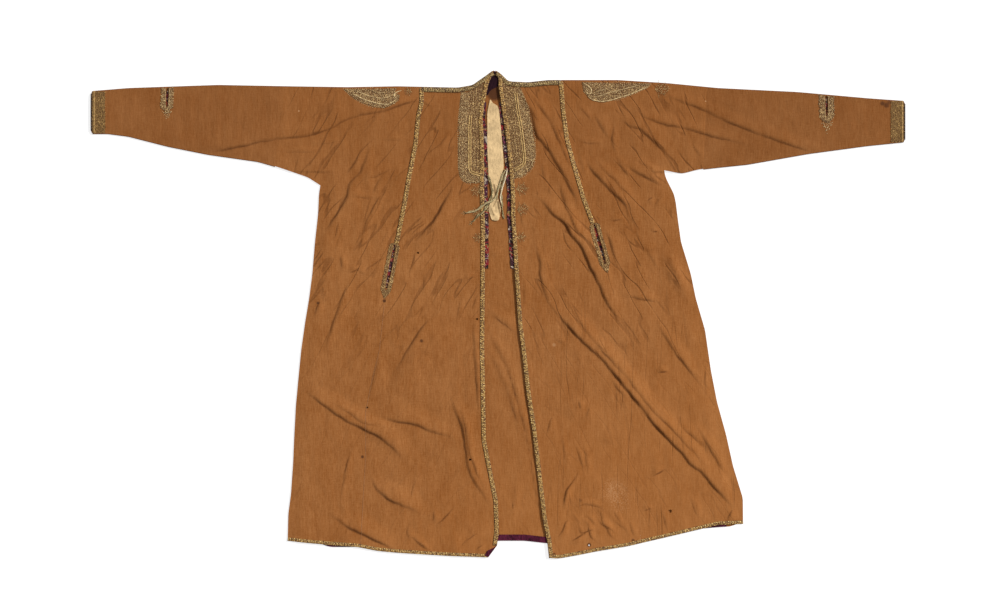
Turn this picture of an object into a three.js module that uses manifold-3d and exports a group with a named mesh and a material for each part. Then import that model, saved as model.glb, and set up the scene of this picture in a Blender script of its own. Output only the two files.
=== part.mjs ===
// An abaya: an open-front coat of brown cotton with gold braid, laid flat on a surface.
//
// Frame: millimetres, X across the coat, Y towards the neck, Z up.  The coat lies with its back on the
// surface z = 0, and the middle of its outline is at x = 0, y = 0.  "right" and "left" are the wearer's,
// so the right half lies at negative x.
//
// Every upper piece is cut from one draped sheet: a grid over the coat whose height comes from BASE and
// the CREASES table.  What lies on a panel is cut from the same grid moved up, so the two stay parallel.
import * as THREE from "three";
import { mergeVertices } from "three/addons/utils/BufferGeometryUtils.js";
import Module from "manifold-3d";

const wasm = await Module();
wasm.setup();

// ---------------------------------------------------------------- driving dimensions
const CLOTH = 1.2; // wall of the cotton cloth
const LINING = 1.0; // wall of linings and facings
const BRAID = 1.0; // wall of braid and couched embroidery
const GAP = 0.3; // clear space between pieces
const BASE = CLOTH + LINING + 2 * GAP; // underside of the upper cloth, over a facing
const EDGE_BASE = CLOTH + GAP; // underside of the upper cloth at its side seams
const EDGE_EASE = 34; // width over which the cloth comes down to its side seam
const CELL_X = 24; // grid cell across the coat
const CELL_Y = 28; // grid cell along the coat
const FOLD_STEPS = 4; // facets around a fold of the cloth
const SHOULDER_TURN = 13; // how far the back comes over the shoulder to its seam
const BRAID_WIDTH = 10; // braid along the front edges and seams
const HEM_BRAID_WIDTH = 8;
const CORD_RADIUS = 1.3; // tie cords
const MID_Z = CLOTH + GAP / 2; // plane between the lower and the upper cloth

const COLOUR = {
  cotton: 0x9c6438,
  braid: 0xa38850,
  couching: 0x9a7f58,
  cream: 0xd9bc8c,
  purple: 0x4a1c3c,
  stripe: 0x7c3450,
  cord: 0x8f8462,
};

// ---------------------------------------------------------------- edge tables, each row [x, y]
// The shoulder fold, from the right cuff over the neck to the left cuff.
const TOP_EDGE = [
  [-930, 504], [-832, 512], [-630, 519], [-472, 516], [-338, 514], [-225, 516], [-90, 513], [-56, 519],
  [-45, 528], [-22, 543], [-8, 550], [9, 540], [24, 526], [68, 525], [112, 530], [270, 530], [382, 523],
  [495, 512], [675, 503], [832, 489], [930, 482],
];
// The underside of the sleeves, from the cuff to the armpit.
const RIGHT_UNDERSIDE = [
  [-930, 408], [-878, 408], [-832, 402], [-742, 379], [-652, 361], [-540, 345], [-495, 332], [-428, 309],
  [-400, 291],
];
const LEFT_UNDERSIDE = [
  [374, 324], [428, 323], [495, 332], [562, 339], [698, 363], [832, 381], [930, 391],
];
// The hem of the two fronts, and the hem of the back that lies under them.
const FRONT_HEM = [
  [-474, -507], [-428, -512], [-382, -516], [-315, -521], [-270, -530], [-225, -534], [-112, -541],
  [0, -545], [112, -545], [135, -547], [180, -539], [225, -530], [292, -519], [360, -503], [428, -487],
  [495, -471], [552, -469],
];
const BACK_HEM = [
  [-474, -503], [-402, -513], [-378, -521], [-340, -521], [-270, -521], [-112, -517], [2, -507],
  [60, -507], [112, -513], [225, -505], [360, -489], [432, -482], [500, -476], [524, -475], [552, -463],
];
// Edges that run down the coat, from the neck to the hem.
const RIGHT_FRONT_EDGE = [
  [-10, 549], [-14, 538], [-21, 525], [-24, 507], [-29, 485], [-35, 442], [-33, 417], [-31, 372],
  [-31, 271], [-29, 201], [-30, 19], [-31, -66], [-27, -280], [-19, -323], [0, -417], [2, -485],
  [-2, -516], [-3, -546],
];
const LEFT_FRONT_EDGE = [
  [-5, 549], [2, 540], [1, 514], [8, 465], [13, 435], [20, 381], [26, 321], [29, 273], [29, 224],
  [31, 199], [37, 100], [45, -21], [51, -64], [64, -177], [76, -255], [88, -357], [100, -458],
  [110, -505], [115, -548],
];
const RIGHT_SEAM = [
  [-172, 540], [-172, 476], [-179, 451], [-185, 388], [-201, 307], [-209, 258], [-226, 172],
  [-239, 125], [-252, 58], [-267, -80], [-284, -147], [-298, -217], [-298, -321], [-304, -424],
  [-310, -540],
];
const LEFT_SEAM = [
  [140, 550], [146, 465], [155, 397], [169, 345], [192, 264], [209, 219], [226, 168], [241, 116],
  [244, 80], [257, -33], [279, -190], [304, -348], [324, -530],
];
const RIGHT_SLEEVE_SEAM = [[-486, 540], [-486, 516], [-492, 433], [-494, 397], [-500, 368], [-504, 300]];
const LEFT_SLEEVE_SEAM = [[471, 540], [470, 514], [468, 462], [465, 395], [461, 300]];
// The open side of the body, from the armpit down.
const RIGHT_SIDE = [
  [-400, 291], [-403, 273], [-405, 228], [-412, 165], [-418, 93], [-425, 39], [-434, -15], [-443, -78],
  [-450, -150], [-455, -204], [-459, -280], [-461, -330], [-466, -402], [-472, -447], [-474, -530],
];
const LEFT_SIDE = [
  [374, 324], [378, 309], [387, 291], [396, 273], [400, 255], [405, 215], [412, 165], [434, 93],
  [445, 39], [466, -33], [479, -123], [493, -195], [513, -267], [529, -339], [540, -375], [551, -411],
  [552, -520],
];
const RIGHT_BACK_SEAM = [[-172, 540], [-172, 300], [-140, -540]];
const LEFT_BACK_SEAM = [[140, 550], [142, 300], [214, -540]];

// ---------------------------------------------------------------- the main creases
// Each is a soft ridge along a line: height over BASE, half width, and its points [x, y].
const CREASES = [
  {
    height: 5,
    half: 34,
    line: [[-655, 376], [-578, 391], [-493, 409], [-430, 414], [-304, 464], [-225, 480]],
  },
  {
    height: 6,
    half: 34,
    line: [[-272, 402], [-298, 328], [-328, 300], [-330, 275], [-350, 240], [-397, 180]],
  },
  { height: 5, half: 32, line: [[-258, 270], [-287, 214], [-308, 149]] },
  {
    height: 7,
    half: 36,
    line: [[-80, 322], [-110, 260], [-134, 218], [-175, 178], [-240, 143], [-296, 105]],
  },
  { height: 5, half: 34, line: [[-312, 108], [-348, 28], [-388, -84]] },
  { height: 5, half: 40, line: [[-102, 36], [-158, -16], [-188, -66], [-238, -140]] },
  { height: 7, half: 38, line: [[-416, -168], [-334, -224], [-264, -258], [-196, -324]] },
  { height: 6, half: 34, line: [[-288, -208], [-185, -231], [-104, -259]] },
  { height: 7, half: 36, line: [[-98, -160], [-69, -246], [-56, -336], [-14, -420]] },
  { height: 5, half: 34, line: [[-277, -348], [-240, -401], [-160, -442]] },
  { height: 4, half: 32, line: [[-386, -430], [-299, -480], [-232, -512]] },
  { height: 6, half: 32, line: [[66, 492], [98, 404], [134, 359], [183, 271], [192, 226]] },
  {
    height: 8,
    half: 34,
    line: [[91, 278], [133, 236], [176, 190], [220, 118], [256, 36], [286, -28], [314, -66]],
  },
  {
    height: 9,
    half: 36,
    line: [
      [88, 192], [112, 92], [139, 38], [196, -18], [264, -82], [346, -200], [446, -308], [528, -396],
    ],
  },
  { height: 5, half: 32, line: [[280, 452], [325, 430], [384, 374], [408, 338]] },
  { height: 5, half: 34, line: [[296, 490], [384, 440], [476, 416], [580, 389]] },
  { height: 6, half: 34, line: [[350, 516], [474, 472], [575, 427], [716, 380]] },
  { height: 5, half: 32, line: [[200, 374], [256, 297], [300, 254], [325, 200]] },
  { height: 4, half: 30, line: [[276, 368], [318, 332], [395, 292]] },
  { height: 5, half: 36, line: [[374, 146], [434, 54], [464, 0]] },
  { height: 5, half: 36, line: [[380, -30], [416, -84], [468, -158]] },
];

// ---------------------------------------------------------------- trims and openings, rows [x, y]
const RIGHT_PLASTRON = [[-82, 506], [-88, 442], [-89, 334], [-84, 309], [-71, 298], [-43, 297]];
const LEFT_PLASTRON = [[50, 512], [68, 466], [81, 403], [84, 361], [79, 334], [58, 314], [38, 308]];
const RIGHT_BOTEH = [
  [-346, 509], [-326, 490], [-304, 478], [-277, 469], [-254, 466], [-236, 474], [-222, 485], [-221, 497],
  [-233, 501], [-226, 511],
];
const LEFT_BOTEH = [
  [189, 525], [193, 501], [202, 494], [214, 483], [236, 479], [268, 487], [302, 498], [333, 512], [344, 521],
];
const RIGHT_POCKET = { slit: [[-232, 159], [-239, 125], [-252, 58]], border: 8, width: 7 };
const LEFT_POCKET = { slit: [[217, 204], [226, 168], [232, 151], [241, 116]], border: 8, width: 7 };
const RIGHT_WRIST = { slit: [[-743, 530], [-744, 500], [-745, 469]], border: 14, width: 5 };
const LEFT_WRIST = { slit: [[738, 520], [739, 480], [740, 447]], border: 17, width: 5 };
const CUFF = { outer: 910, inner: 884, length: 916 }; // distances from the middle of the coat
const RIGHT_GUSSET = [[-500, 372], [-477, 368], [-464, 336], [-459, 300], [-510, 300]];
const LEFT_GUSSET = [[472, 420], [433, 404], [455, 336], [458, 300], [480, 300]];
const HOLES = [
  { x: -180, y: 141, size: 5 }, { x: -47, y: -8, size: 5 }, { x: -295, y: -207, size: 5 },
  { x: -63, y: -324, size: 5 }, { x: 387, y: -440, size: 7 }, { x: 205, y: -517, size: 8 },
];
const CREAM = [
  [-18, 485], [-24, 458], [-24, 372], [-21, 314], [-14, 298], [-11, 273], [-22, 240], [-14, 214],
  [2, 213], [7, 240], [-4, 278], [2, 298], [13, 332], [12, 357], [7, 417], [2, 467],
];
const COLLAR_LINING = [
  [-8, 547], [1, 538], [2, 516], [-8, 512], [-18, 506], [-24, 494], [-28, 498], [-24, 516], [-21, 530],
  [-13, 541],
];
const NECK = { right: -46, left: 26 }; // where the shoulder seams end at the neck
const STRIPED_FACING = { top: 480, bottom: 106, shown: 8, hidden: 10 };
const HEM_FACING_WIDTH = 14;

// ---------------------------------------------------------------- small maths
const smooth = (t) => {
  const s = Math.min(1, Math.max(0, t));
  return s * s * (3 - 2 * s);
};

// Value of a table of [key, value] rows at a key; from and to name which column is which.
function along(table, key, from, to) {
  const rising = table[0][from] < table[table.length - 1][from];
  for (let i = 1; i < table.length; i += 1) {
    const [a, b] = [table[i - 1], table[i]];
    const inside = rising ? key <= b[from] : key >= b[from];
    if (inside || i === table.length - 1) {
      const t = (key - a[from]) / (b[from] - a[from] || 1);
      return a[to] + (b[to] - a[to]) * Math.min(1, Math.max(0, t));
    }
  }
  return table[0][to];
}
const yAt = (table, x) => along(table, x, 0, 1);
const xAt = (table, y) => along(table, y, 1, 0);

function distanceToLine(line, x, y) {
  let best = Infinity;
  for (let i = 1; i < line.length; i += 1) {
    const [ax, ay] = line[i - 1];
    const [bx, by] = line[i];
    const [dx, dy] = [bx - ax, by - ay];
    const t = Math.min(1, Math.max(0, ((x - ax) * dx + (y - ay) * dy) / (dx * dx + dy * dy)));
    best = Math.min(best, Math.hypot(x - ax - t * dx, y - ay - t * dy));
  }
  return best;
}

// Rows of a table kept between two y values, with its ends cut there.
function span(table, yTop, yBottom) {
  const rows = table.filter(([, y]) => y < yTop && y > yBottom);
  return [[xAt(table, yTop), yTop], ...rows, [xAt(table, yBottom), yBottom]];
}
const shift = (rows, dx, dy = 0) => rows.map(([x, y]) => [x + dx, y + dy]);
const reversed = (rows) => [...rows].reverse();
// Rows of a table that runs across the coat, kept between two x values.
function across(table, xFrom, xTo) {
  const rows = table.filter(([x]) => x > xFrom && x < xTo);
  return [[xFrom, yAt(table, xFrom)], ...rows, [xTo, yAt(table, xTo)]];
}

// ---------------------------------------------------------------- the draped height
function sideEase(x, y) {
  if (y > 320) return 1;
  const toSide = Math.min(x - xAt(RIGHT_SIDE, y), xAt(LEFT_SIDE, y) - x);
  return smooth(toSide / EDGE_EASE);
}

// Underside of the upper cloth.
function drape(x, y) {
  let relief = 0;
  for (const crease of CREASES) {
    const d = distanceToLine(crease.line, x, y) / crease.half;
    if (d < 1) relief = Math.max(relief, crease.height * (1 - smooth(d)));
  }
  const fromFold = smooth((yAt(TOP_EDGE, x) - y - SHOULDER_TURN) / 40);
  const open = BASE + relief * fromFold;
  return EDGE_BASE + (open - EDGE_BASE) * sideEase(x, y);
}

// ---------------------------------------------------------------- solids
function toManifold(geometry) {
  const bare = geometry.clone();
  bare.deleteAttribute("normal");
  bare.deleteAttribute("uv");
  const merged = mergeVertices(bare, 1e-4);
  const mesh = new wasm.Mesh({
    numProp: 3,
    vertProperties: new Float32Array(merged.attributes.position.array),
    triVerts: new Uint32Array(merged.index.array),
  });
  return new wasm.Manifold(mesh);
}

function toGeometry(solid) {
  const mesh = solid.getMesh();
  const geometry = new THREE.BufferGeometry();
  geometry.setAttribute("position", new THREE.BufferAttribute(new Float32Array(mesh.vertProperties), 3));
  geometry.setIndex(new THREE.BufferAttribute(new Uint32Array(mesh.triVerts), 1));
  return geometry;
}

// A plan outline stood up from z = low to z = high.
function prism(outline, low, high) {
  const shape = new THREE.Shape(outline.map(([x, y]) => new THREE.Vector2(x, y)));
  const geometry = new THREE.ExtrudeGeometry(shape, { depth: high - low, bevelEnabled: false });
  geometry.translate(0, 0, low);
  return toManifold(geometry);
}

// A closed wall from two grids of points, outer[j][i] and inner[j][i]; ring joins the last row to the first.
function wall(outer, inner, ring = false) {
  const rows = outer.length;
  const cols = outer[0].length;
  const points = [...outer.flat(), ...inner.flat()];
  const at = (j, i) => (j % rows) * cols + i;
  const skin = rows * cols;
  const faces = [];
  const quad = (a, b, c, d) => faces.push(a, b, c, a, c, d);
  const last = ring ? rows : rows - 1;
  for (let j = 0; j < last; j += 1) {
    for (let i = 0; i + 1 < cols; i += 1) {
      quad(at(j, i), at(j + 1, i), at(j + 1, i + 1), at(j, i + 1));
      quad(skin + at(j, i), skin + at(j, i + 1), skin + at(j + 1, i + 1), skin + at(j + 1, i));
    }
    quad(at(j, 0), skin + at(j, 0), skin + at(j + 1, 0), at(j + 1, 0));
    quad(at(j, cols - 1), at(j + 1, cols - 1), skin + at(j + 1, cols - 1), skin + at(j, cols - 1));
  }
  if (!ring) {
    for (let i = 0; i + 1 < cols; i += 1) {
      quad(at(0, i), at(0, i + 1), skin + at(0, i + 1), skin + at(0, i));
      const j = rows - 1;
      quad(at(j, i), skin + at(j, i), skin + at(j, i + 1), at(j, i + 1));
    }
  }
  const geometry = new THREE.BufferGeometry();
  geometry.setAttribute("position", new THREE.Float32BufferAttribute(points.flat(), 3));
  geometry.setIndex(faces);
  return toManifold(geometry);
}

const stations = (from, to, cell) => {
  const count = Math.round(Math.abs(to - from) / cell);
  return Array.from({ length: count + 1 }, (_, i) => from + ((to - from) * i) / count);
};

// One point around a fold of the cloth at y, from the lower layer up to the upper layer; side is +1 at the
// shoulder and -1 at a sleeve's underside, and depth is 0 on the outer skin and CLOTH on the inner one.
function foldRow(x, y, side, step, radius, depth) {
  const turn = -Math.PI / 2 + (Math.PI * step) / FOLD_STEPS;
  const reach = radius - depth;
  return [x, y - side * radius + side * reach * Math.cos(turn), radius + reach * Math.sin(turn)];
}
const FOLD_RADIUS = (BASE + CLOTH) / 2;

// Rows of y for the upper cloth of the body: the fold, the shoulder seam line, then even cells.
const BODY_TOP = 470;
const BODY_BOTTOM = -560;
const bodyRows = stations(BODY_TOP, BODY_BOTTOM, CELL_Y);
const bodyColumns = stations(-520, 580, CELL_X);

function upperRows(lift) {
  const fold = bodyColumns.map((x) => yAt(TOP_EDGE, x));
  const rows = [
    bodyColumns.map((x, i) => [x, fold[i] - FOLD_RADIUS, BASE + lift]),
    bodyColumns.map((x, i) => [x, fold[i] - SHOULDER_TURN, BASE + lift]),
  ];
  for (const y of bodyRows) rows.push(bodyColumns.map((x) => [x, y, drape(x, y) + lift]));
  return rows;
}

// The upper cloth alone, moved up by lift, with its own wall.
const upperSheet = (lift, thick) => wall(upperRows(lift + thick), upperRows(lift));

// The lower cloth, the shoulder fold and the upper cloth as one wall.
function bodySheet() {
  const side = (depth) => {
    const rows = [
      bodyColumns.map((x) => [x, BODY_BOTTOM, depth]),
      bodyColumns.map((x) => [x, BODY_TOP - 40, depth]),
    ];
    for (let step = 0; step <= FOLD_STEPS; step += 1) {
      rows.push(bodyColumns.map((x) => foldRow(x, yAt(TOP_EDGE, x), 1, step, FOLD_RADIUS, depth)));
    }
    rows.push(...upperRows(CLOTH - depth).slice(1));
    return rows;
  };
  return wall(side(0), side(CLOTH));
}

// A sleeve as a flattened tube, folded at the shoulder line and at its underside.
const SLEEVE_ROWS = 6;
function sleeveSheet(underside, xFrom, xTo) {
  const columns = stations(xFrom, xTo, 30);
  const ring = (depth) => {
    const rows = [];
    for (let step = 0; step <= FOLD_STEPS; step += 1) {
      rows.push(columns.map((x) => foldRow(x, yAt(TOP_EDGE, x), 1, step, FOLD_RADIUS, depth)));
    }
    for (let j = 1; j < SLEEVE_ROWS; j += 1) {
      rows.push(columns.map((x) => {
        const [top, low] = [yAt(TOP_EDGE, x) - FOLD_RADIUS, yAt(underside, x) + FOLD_RADIUS];
        const y = top + ((low - top) * j) / SLEEVE_ROWS;
        const atEdge = smooth(Math.min(j, SLEEVE_ROWS - j) / 1.5);
        return [x, y, BASE + (drape(x, y) - BASE) * atEdge + CLOTH - depth];
      }));
    }
    for (let step = FOLD_STEPS; step >= 0; step -= 1) {
      rows.push(columns.map((x) => foldRow(x, yAt(underside, x), -1, step, FOLD_RADIUS, depth)));
    }
    return rows;
  };
  return { outer: ring(0), inner: ring(CLOTH), columns };
}
function sleeveTube(underside, xFrom, xTo) {
  const { outer, inner } = sleeveSheet(underside, xFrom, xTo);
  return wall(outer, inner, true);
}
// The sleeve's upper rows alone, moved up.
function sleeveUpper(underside, xFrom, xTo, lift, thick) {
  const { outer } = sleeveSheet(underside, xFrom, xTo);
  const upper = outer.slice(FOLD_STEPS, FOLD_STEPS + SLEEVE_ROWS + 1);
  const raise = (by) => upper.map((row) => row.map(([x, y, z]) => [x, y, z + by]));
  return wall(raise(lift + thick), raise(lift));
}

// ---------------------------------------------------------------- the graph
const abaya = new THREE.Group();
abaya.name = "abaya";

function addSolid(name, solid, colour, roughness = 0.9, metalness = 0) {
  const material = new THREE.MeshStandardMaterial({ color: colour, roughness, metalness });
  const mesh = new THREE.Mesh(toGeometry(solid), material);
  mesh.name = name;
  abaya.add(mesh);
}
const HIGH = 60; // above every crease
const LOW = -5; // below the surface

// A ring of plan points around a short line, at a distance on each side and past its ends.
function around(line, distance, pastStart, pastEnd) {
  const sideRow = (sign) => line.map(([x, y], i) => {
    const [ax, ay] = line[Math.max(0, i - 1)];
    const [bx, by] = line[Math.min(line.length - 1, i + 1)];
    const length = Math.hypot(bx - ax, by - ay);
    return [x - (sign * distance * (by - ay)) / length, y + (sign * distance * (bx - ax)) / length];
  });
  const [first, last] = [line[0], line[line.length - 1]];
  const [before, after] = [line[1], line[line.length - 2]];
  const extend = ([x, y], [fx, fy], by) => {
    const length = Math.hypot(x - fx, y - fy);
    return [x + ((x - fx) * by) / length, y + ((y - fy) * by) / length];
  };
  const [start, end] = [extend(first, before, pastStart), extend(last, after, pastEnd)];
  return [start, ...sideRow(1), end, ...reversed(sideRow(-1))];
}
// A slit: closed at its ends, widest in the middle.
function lens(line, width) {
  const half = (i) => (width / 2) * Math.sin(Math.PI * (0.12 + (0.76 * i) / (line.length - 1)));
  const left = line.map(([x, y], i) => [x - half(i), y]);
  const right = line.map(([x, y], i) => [x + half(i), y]);
  return [...left, ...reversed(right)];
}

// A plan outline moved outward by a distance, corner by corner.
function grow(outline, distance) {
  const count = outline.length;
  let area = 0;
  outline.forEach(([x, y], i) => {
    const [nx, ny] = outline[(i + 1) % count];
    area += x * ny - nx * y;
  });
  const way = Math.sign(area) * distance;
  return outline.map(([x, y], i) => {
    const [px, py] = outline[(i + count - 1) % count];
    const [nx, ny] = outline[(i + 1) % count];
    const [a, b] = [Math.hypot(x - px, y - py), Math.hypot(nx - x, ny - y)];
    const [ux, uy] = [(y - py) / a + (ny - y) / b, -(x - px) / a - (nx - x) / b];
    const bend = (ux * ux + uy * uy) / 2;
    return [x + (way * ux) / bend, y + (way * uy) / bend];
  });
}

// ---------------------------------------------------------------- plan outlines of the pieces
// The area below a hem line.
const belowHem = (hem) => prism([...across(hem, -640, 640), [640, -640], [-640, -640]], LOW, HIGH);
const belowFrontHem = belowHem(FRONT_HEM);
const belowBackHem = belowHem(BACK_HEM);
// The area above the shoulder fold, moved down by a distance.
const aboveFold = (distance) =>
  prism([...shift(across(TOP_EDGE, -930, 930), 0, -distance), [930, 640], [-930, 640]], LOW, HIGH);
// The area covered by the coat's shoulder seam allowance, outside the neck.
function belowShoulderSeam(from, to) {
  return [...shift(across(TOP_EDGE, from, to), 0, -SHOULDER_TURN), [to, 560], [from, 560]];
}
const TOP_Y = 545; // past the fold at every seam
const FOOT_Y = -560; // past every hem

// Outer side of a half: sleeve seam, underside of the sleeve, side of the body.
function outerSide({ side, sleeveSeam, underside, sideEdge }) {
  const armpit = sideEdge[0];
  const foot = xAt(sleeveSeam, side < 0 ? 334 : 328);
  const under = side < 0 ? across(underside, foot, armpit[0]) : reversed(across(underside, armpit[0], foot));
  return [
    ...shift(span(sleeveSeam, TOP_Y, under[0][1]), (-side * GAP) / 2),
    ...under.slice(1, -1),
    ...span(sideEdge, armpit[1], FOOT_Y),
  ];
}
const sidePlan = (half, seam) => {
  const seamRow = shift(span(seam, TOP_Y, FOOT_Y), (half.side * GAP) / 2);
  return [...outerSide(half), ...reversed(seamRow)];
};

const HALVES = [
  {
    name: "right", side: -1, frontEdge: RIGHT_FRONT_EDGE, seam: RIGHT_SEAM, backSeam: RIGHT_BACK_SEAM,
    sleeveSeam: RIGHT_SLEEVE_SEAM, underside: RIGHT_UNDERSIDE, sideEdge: RIGHT_SIDE,
    plastron: RIGHT_PLASTRON, boteh: RIGHT_BOTEH, pocket: RIGHT_POCKET, wrist: RIGHT_WRIST,
    gusset: RIGHT_GUSSET, neck: NECK.right,
  },
  {
    name: "left", side: 1, frontEdge: LEFT_FRONT_EDGE, seam: LEFT_SEAM, backSeam: LEFT_BACK_SEAM,
    sleeveSeam: LEFT_SLEEVE_SEAM, underside: LEFT_UNDERSIDE, sideEdge: LEFT_SIDE,
    plastron: LEFT_PLASTRON, boteh: LEFT_BOTEH, pocket: LEFT_POCKET, wrist: LEFT_WRIST,
    gusset: LEFT_GUSSET, neck: NECK.left,
  },
];

// ---------------------------------------------------------------- cloth pieces
const body = bodySheet();
const frontSheet = upperSheet(0, CLOTH);
const trimSheet = upperSheet(CLOTH + GAP, BRAID);

function mothHoles() {
  const corners = 7;
  return HOLES.map(({ x, y, size }) => {
    const ring = Array.from({ length: corners }, (_, k) => {
      const turn = (2 * Math.PI * k) / corners;
      const radius = (size / 2) * (1 + 0.18 * Math.cos(3 * turn + x));
      return [x + radius * Math.cos(turn) * 1.25, y + radius * Math.sin(turn)];
    });
    return prism(ring, MID_Z, HIGH);
  }).reduce((all, hole) => all.add(hole));
}
const holes = mothHoles();

function makeGusset({ side, gusset, sleeveSeam, underside }) {
  const reach = side < 0 ? [-560, -420] : [380, 560];
  const seamRow = shift(span(sleeveSeam, 450, 301), (-side * GAP) / 2);
  const bodySide = prism([...seamRow, [side * 380, 301], [side * 380, 450]], LOW, HIGH);
  return sleeveTube(underside, ...reach).intersect(prism(gusset, LOW, HIGH)).intersect(bodySide);
}

function makeSidePanel(half) {
  const upper = prism(sidePlan(half, half.seam), MID_Z - 0.05, HIGH).subtract(belowFrontHem);
  const lower = prism(sidePlan(half, half.backSeam), LOW, MID_Z + 0.05).subtract(belowBackHem);
  const slit = prism(lens(half.pocket.slit, half.pocket.width), MID_Z, HIGH);
  return body
    .intersect(upper.add(lower))
    .subtract(prism(grow(half.gusset, GAP), LOW, HIGH))
    .subtract(slit)
    .subtract(holes);
}

function makeFrontPanel(half) {
  const { side, frontEdge, seam, pocket, neck } = half;
  const seamRow = shift(span(seam, TOP_Y, FOOT_Y), (-side * GAP) / 2);
  const plan = prism([...span(frontEdge, 548, FOOT_Y), ...reversed(seamRow)], LOW, HIGH);
  const [from, to] = side < 0 ? [-180, neck + GAP] : [neck - GAP, 150];
  return frontSheet
    .intersect(plan)
    .subtract(belowFrontHem)
    .subtract(aboveFold(1))
    .subtract(prism(shift(belowShoulderSeam(from, to), 0, -GAP), LOW, HIGH))
    .subtract(prism(lens(pocket.slit, pocket.width), MID_Z, HIGH))
    .subtract(holes);
}

function makeBackPanel() {
  const rightSeam = shift(span(RIGHT_BACK_SEAM, TOP_Y, FOOT_Y), GAP / 2);
  const leftSeam = shift(span(LEFT_BACK_SEAM, TOP_Y, FOOT_Y), -GAP / 2);
  const neckTop = shift(across(TOP_EDGE, NECK.right, NECK.left), 0, -FOLD_RADIUS);
  const lower = prism(
    [...rightSeam, ...reversed(leftSeam), [NECK.left, TOP_Y], ...reversed(neckTop), [NECK.right, TOP_Y]],
    LOW,
    MID_Z + 0.05,
  ).subtract(belowBackHem);
  const turns = [[rightSeam[0][0], NECK.right], [NECK.left, leftSeam[0][0]]].map(([from, to]) =>
    prism(belowShoulderSeam(from, to), MID_Z - 0.05, HIGH));
  return body.intersect(lower.add(turns[0]).add(turns[1]));
}

function makeSleeve({ side, sleeveSeam, underside, wrist }) {
  const end = side * CUFF.length;
  const inner = side * 440;
  const seamRow = shift(span(sleeveSeam, TOP_Y, 301), (side * GAP) / 2);
  const plan = prism([...seamRow, [end, 301], [end, TOP_Y]], LOW, HIGH);
  return sleeveTube(underside, Math.min(end, inner), Math.max(end, inner))
    .intersect(plan)
    .subtract(prism(lens(wrist.slit, wrist.width), MID_Z, HIGH));
}

addSolid("back_panel", makeBackPanel(), COLOUR.cotton);
for (const half of HALVES) {
  addSolid(`side_panel_${half.name}`, makeSidePanel(half), COLOUR.cotton);
  addSolid(`front_panel_${half.name}`, makeFrontPanel(half), COLOUR.cotton);
  addSolid(`sleeve_${half.name}`, makeSleeve(half), COLOUR.cotton);
  addSolid(`gusset_${half.name}`, makeGusset(half), COLOUR.cotton);
}

// ---------------------------------------------------------------- linings and facings, flat on the back
const liningAt = (outline) => prism(outline, CLOTH + GAP, CLOTH + GAP + LINING);
const nearNeck = aboveFold(2.2 * FOLD_RADIUS);

addSolid("neck_lining", liningAt(CREAM), COLOUR.cream);
addSolid("collar_lining", liningAt(COLLAR_LINING), COLOUR.purple);
for (const { name, side, frontEdge, pocket, wrist } of HALVES) {
  const { top, bottom, shown, hidden } = STRIPED_FACING;
  const edge = span(frontEdge, top, bottom);
  const shownEdge = edge.map(([x, y]) => [x - side * Math.min(shown, 3 + (top - y) / 12), y]);
  const facing = liningAt([...shownEdge, ...reversed(shift(edge, side * hidden))]);
  addSolid(`front_facing_${name}`, facing.subtract(prism(grow(CREAM, GAP), LOW, HIGH)), COLOUR.stripe);
  addSolid(`pocket_facing_${name}`, liningAt(around(pocket.slit, 13, 12, 12)), COLOUR.stripe);
  const wristFacing = liningAt(around(wrist.slit, 11, 0, 14)).subtract(nearNeck);
  addSolid(`wrist_facing_${name}`, wristFacing, COLOUR.stripe);
}
const hemLineBack = across(BACK_HEM, -438, 514); // clear of the eased side seams
const hemBand = prism(
  [...hemLineBack, ...reversed(shift(hemLineBack, 0, HEM_FACING_WIDTH))],
  CLOTH + GAP,
  CLOTH + GAP + LINING,
);
addSolid("back_hem_facing", hemBand, COLOUR.purple);

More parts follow.
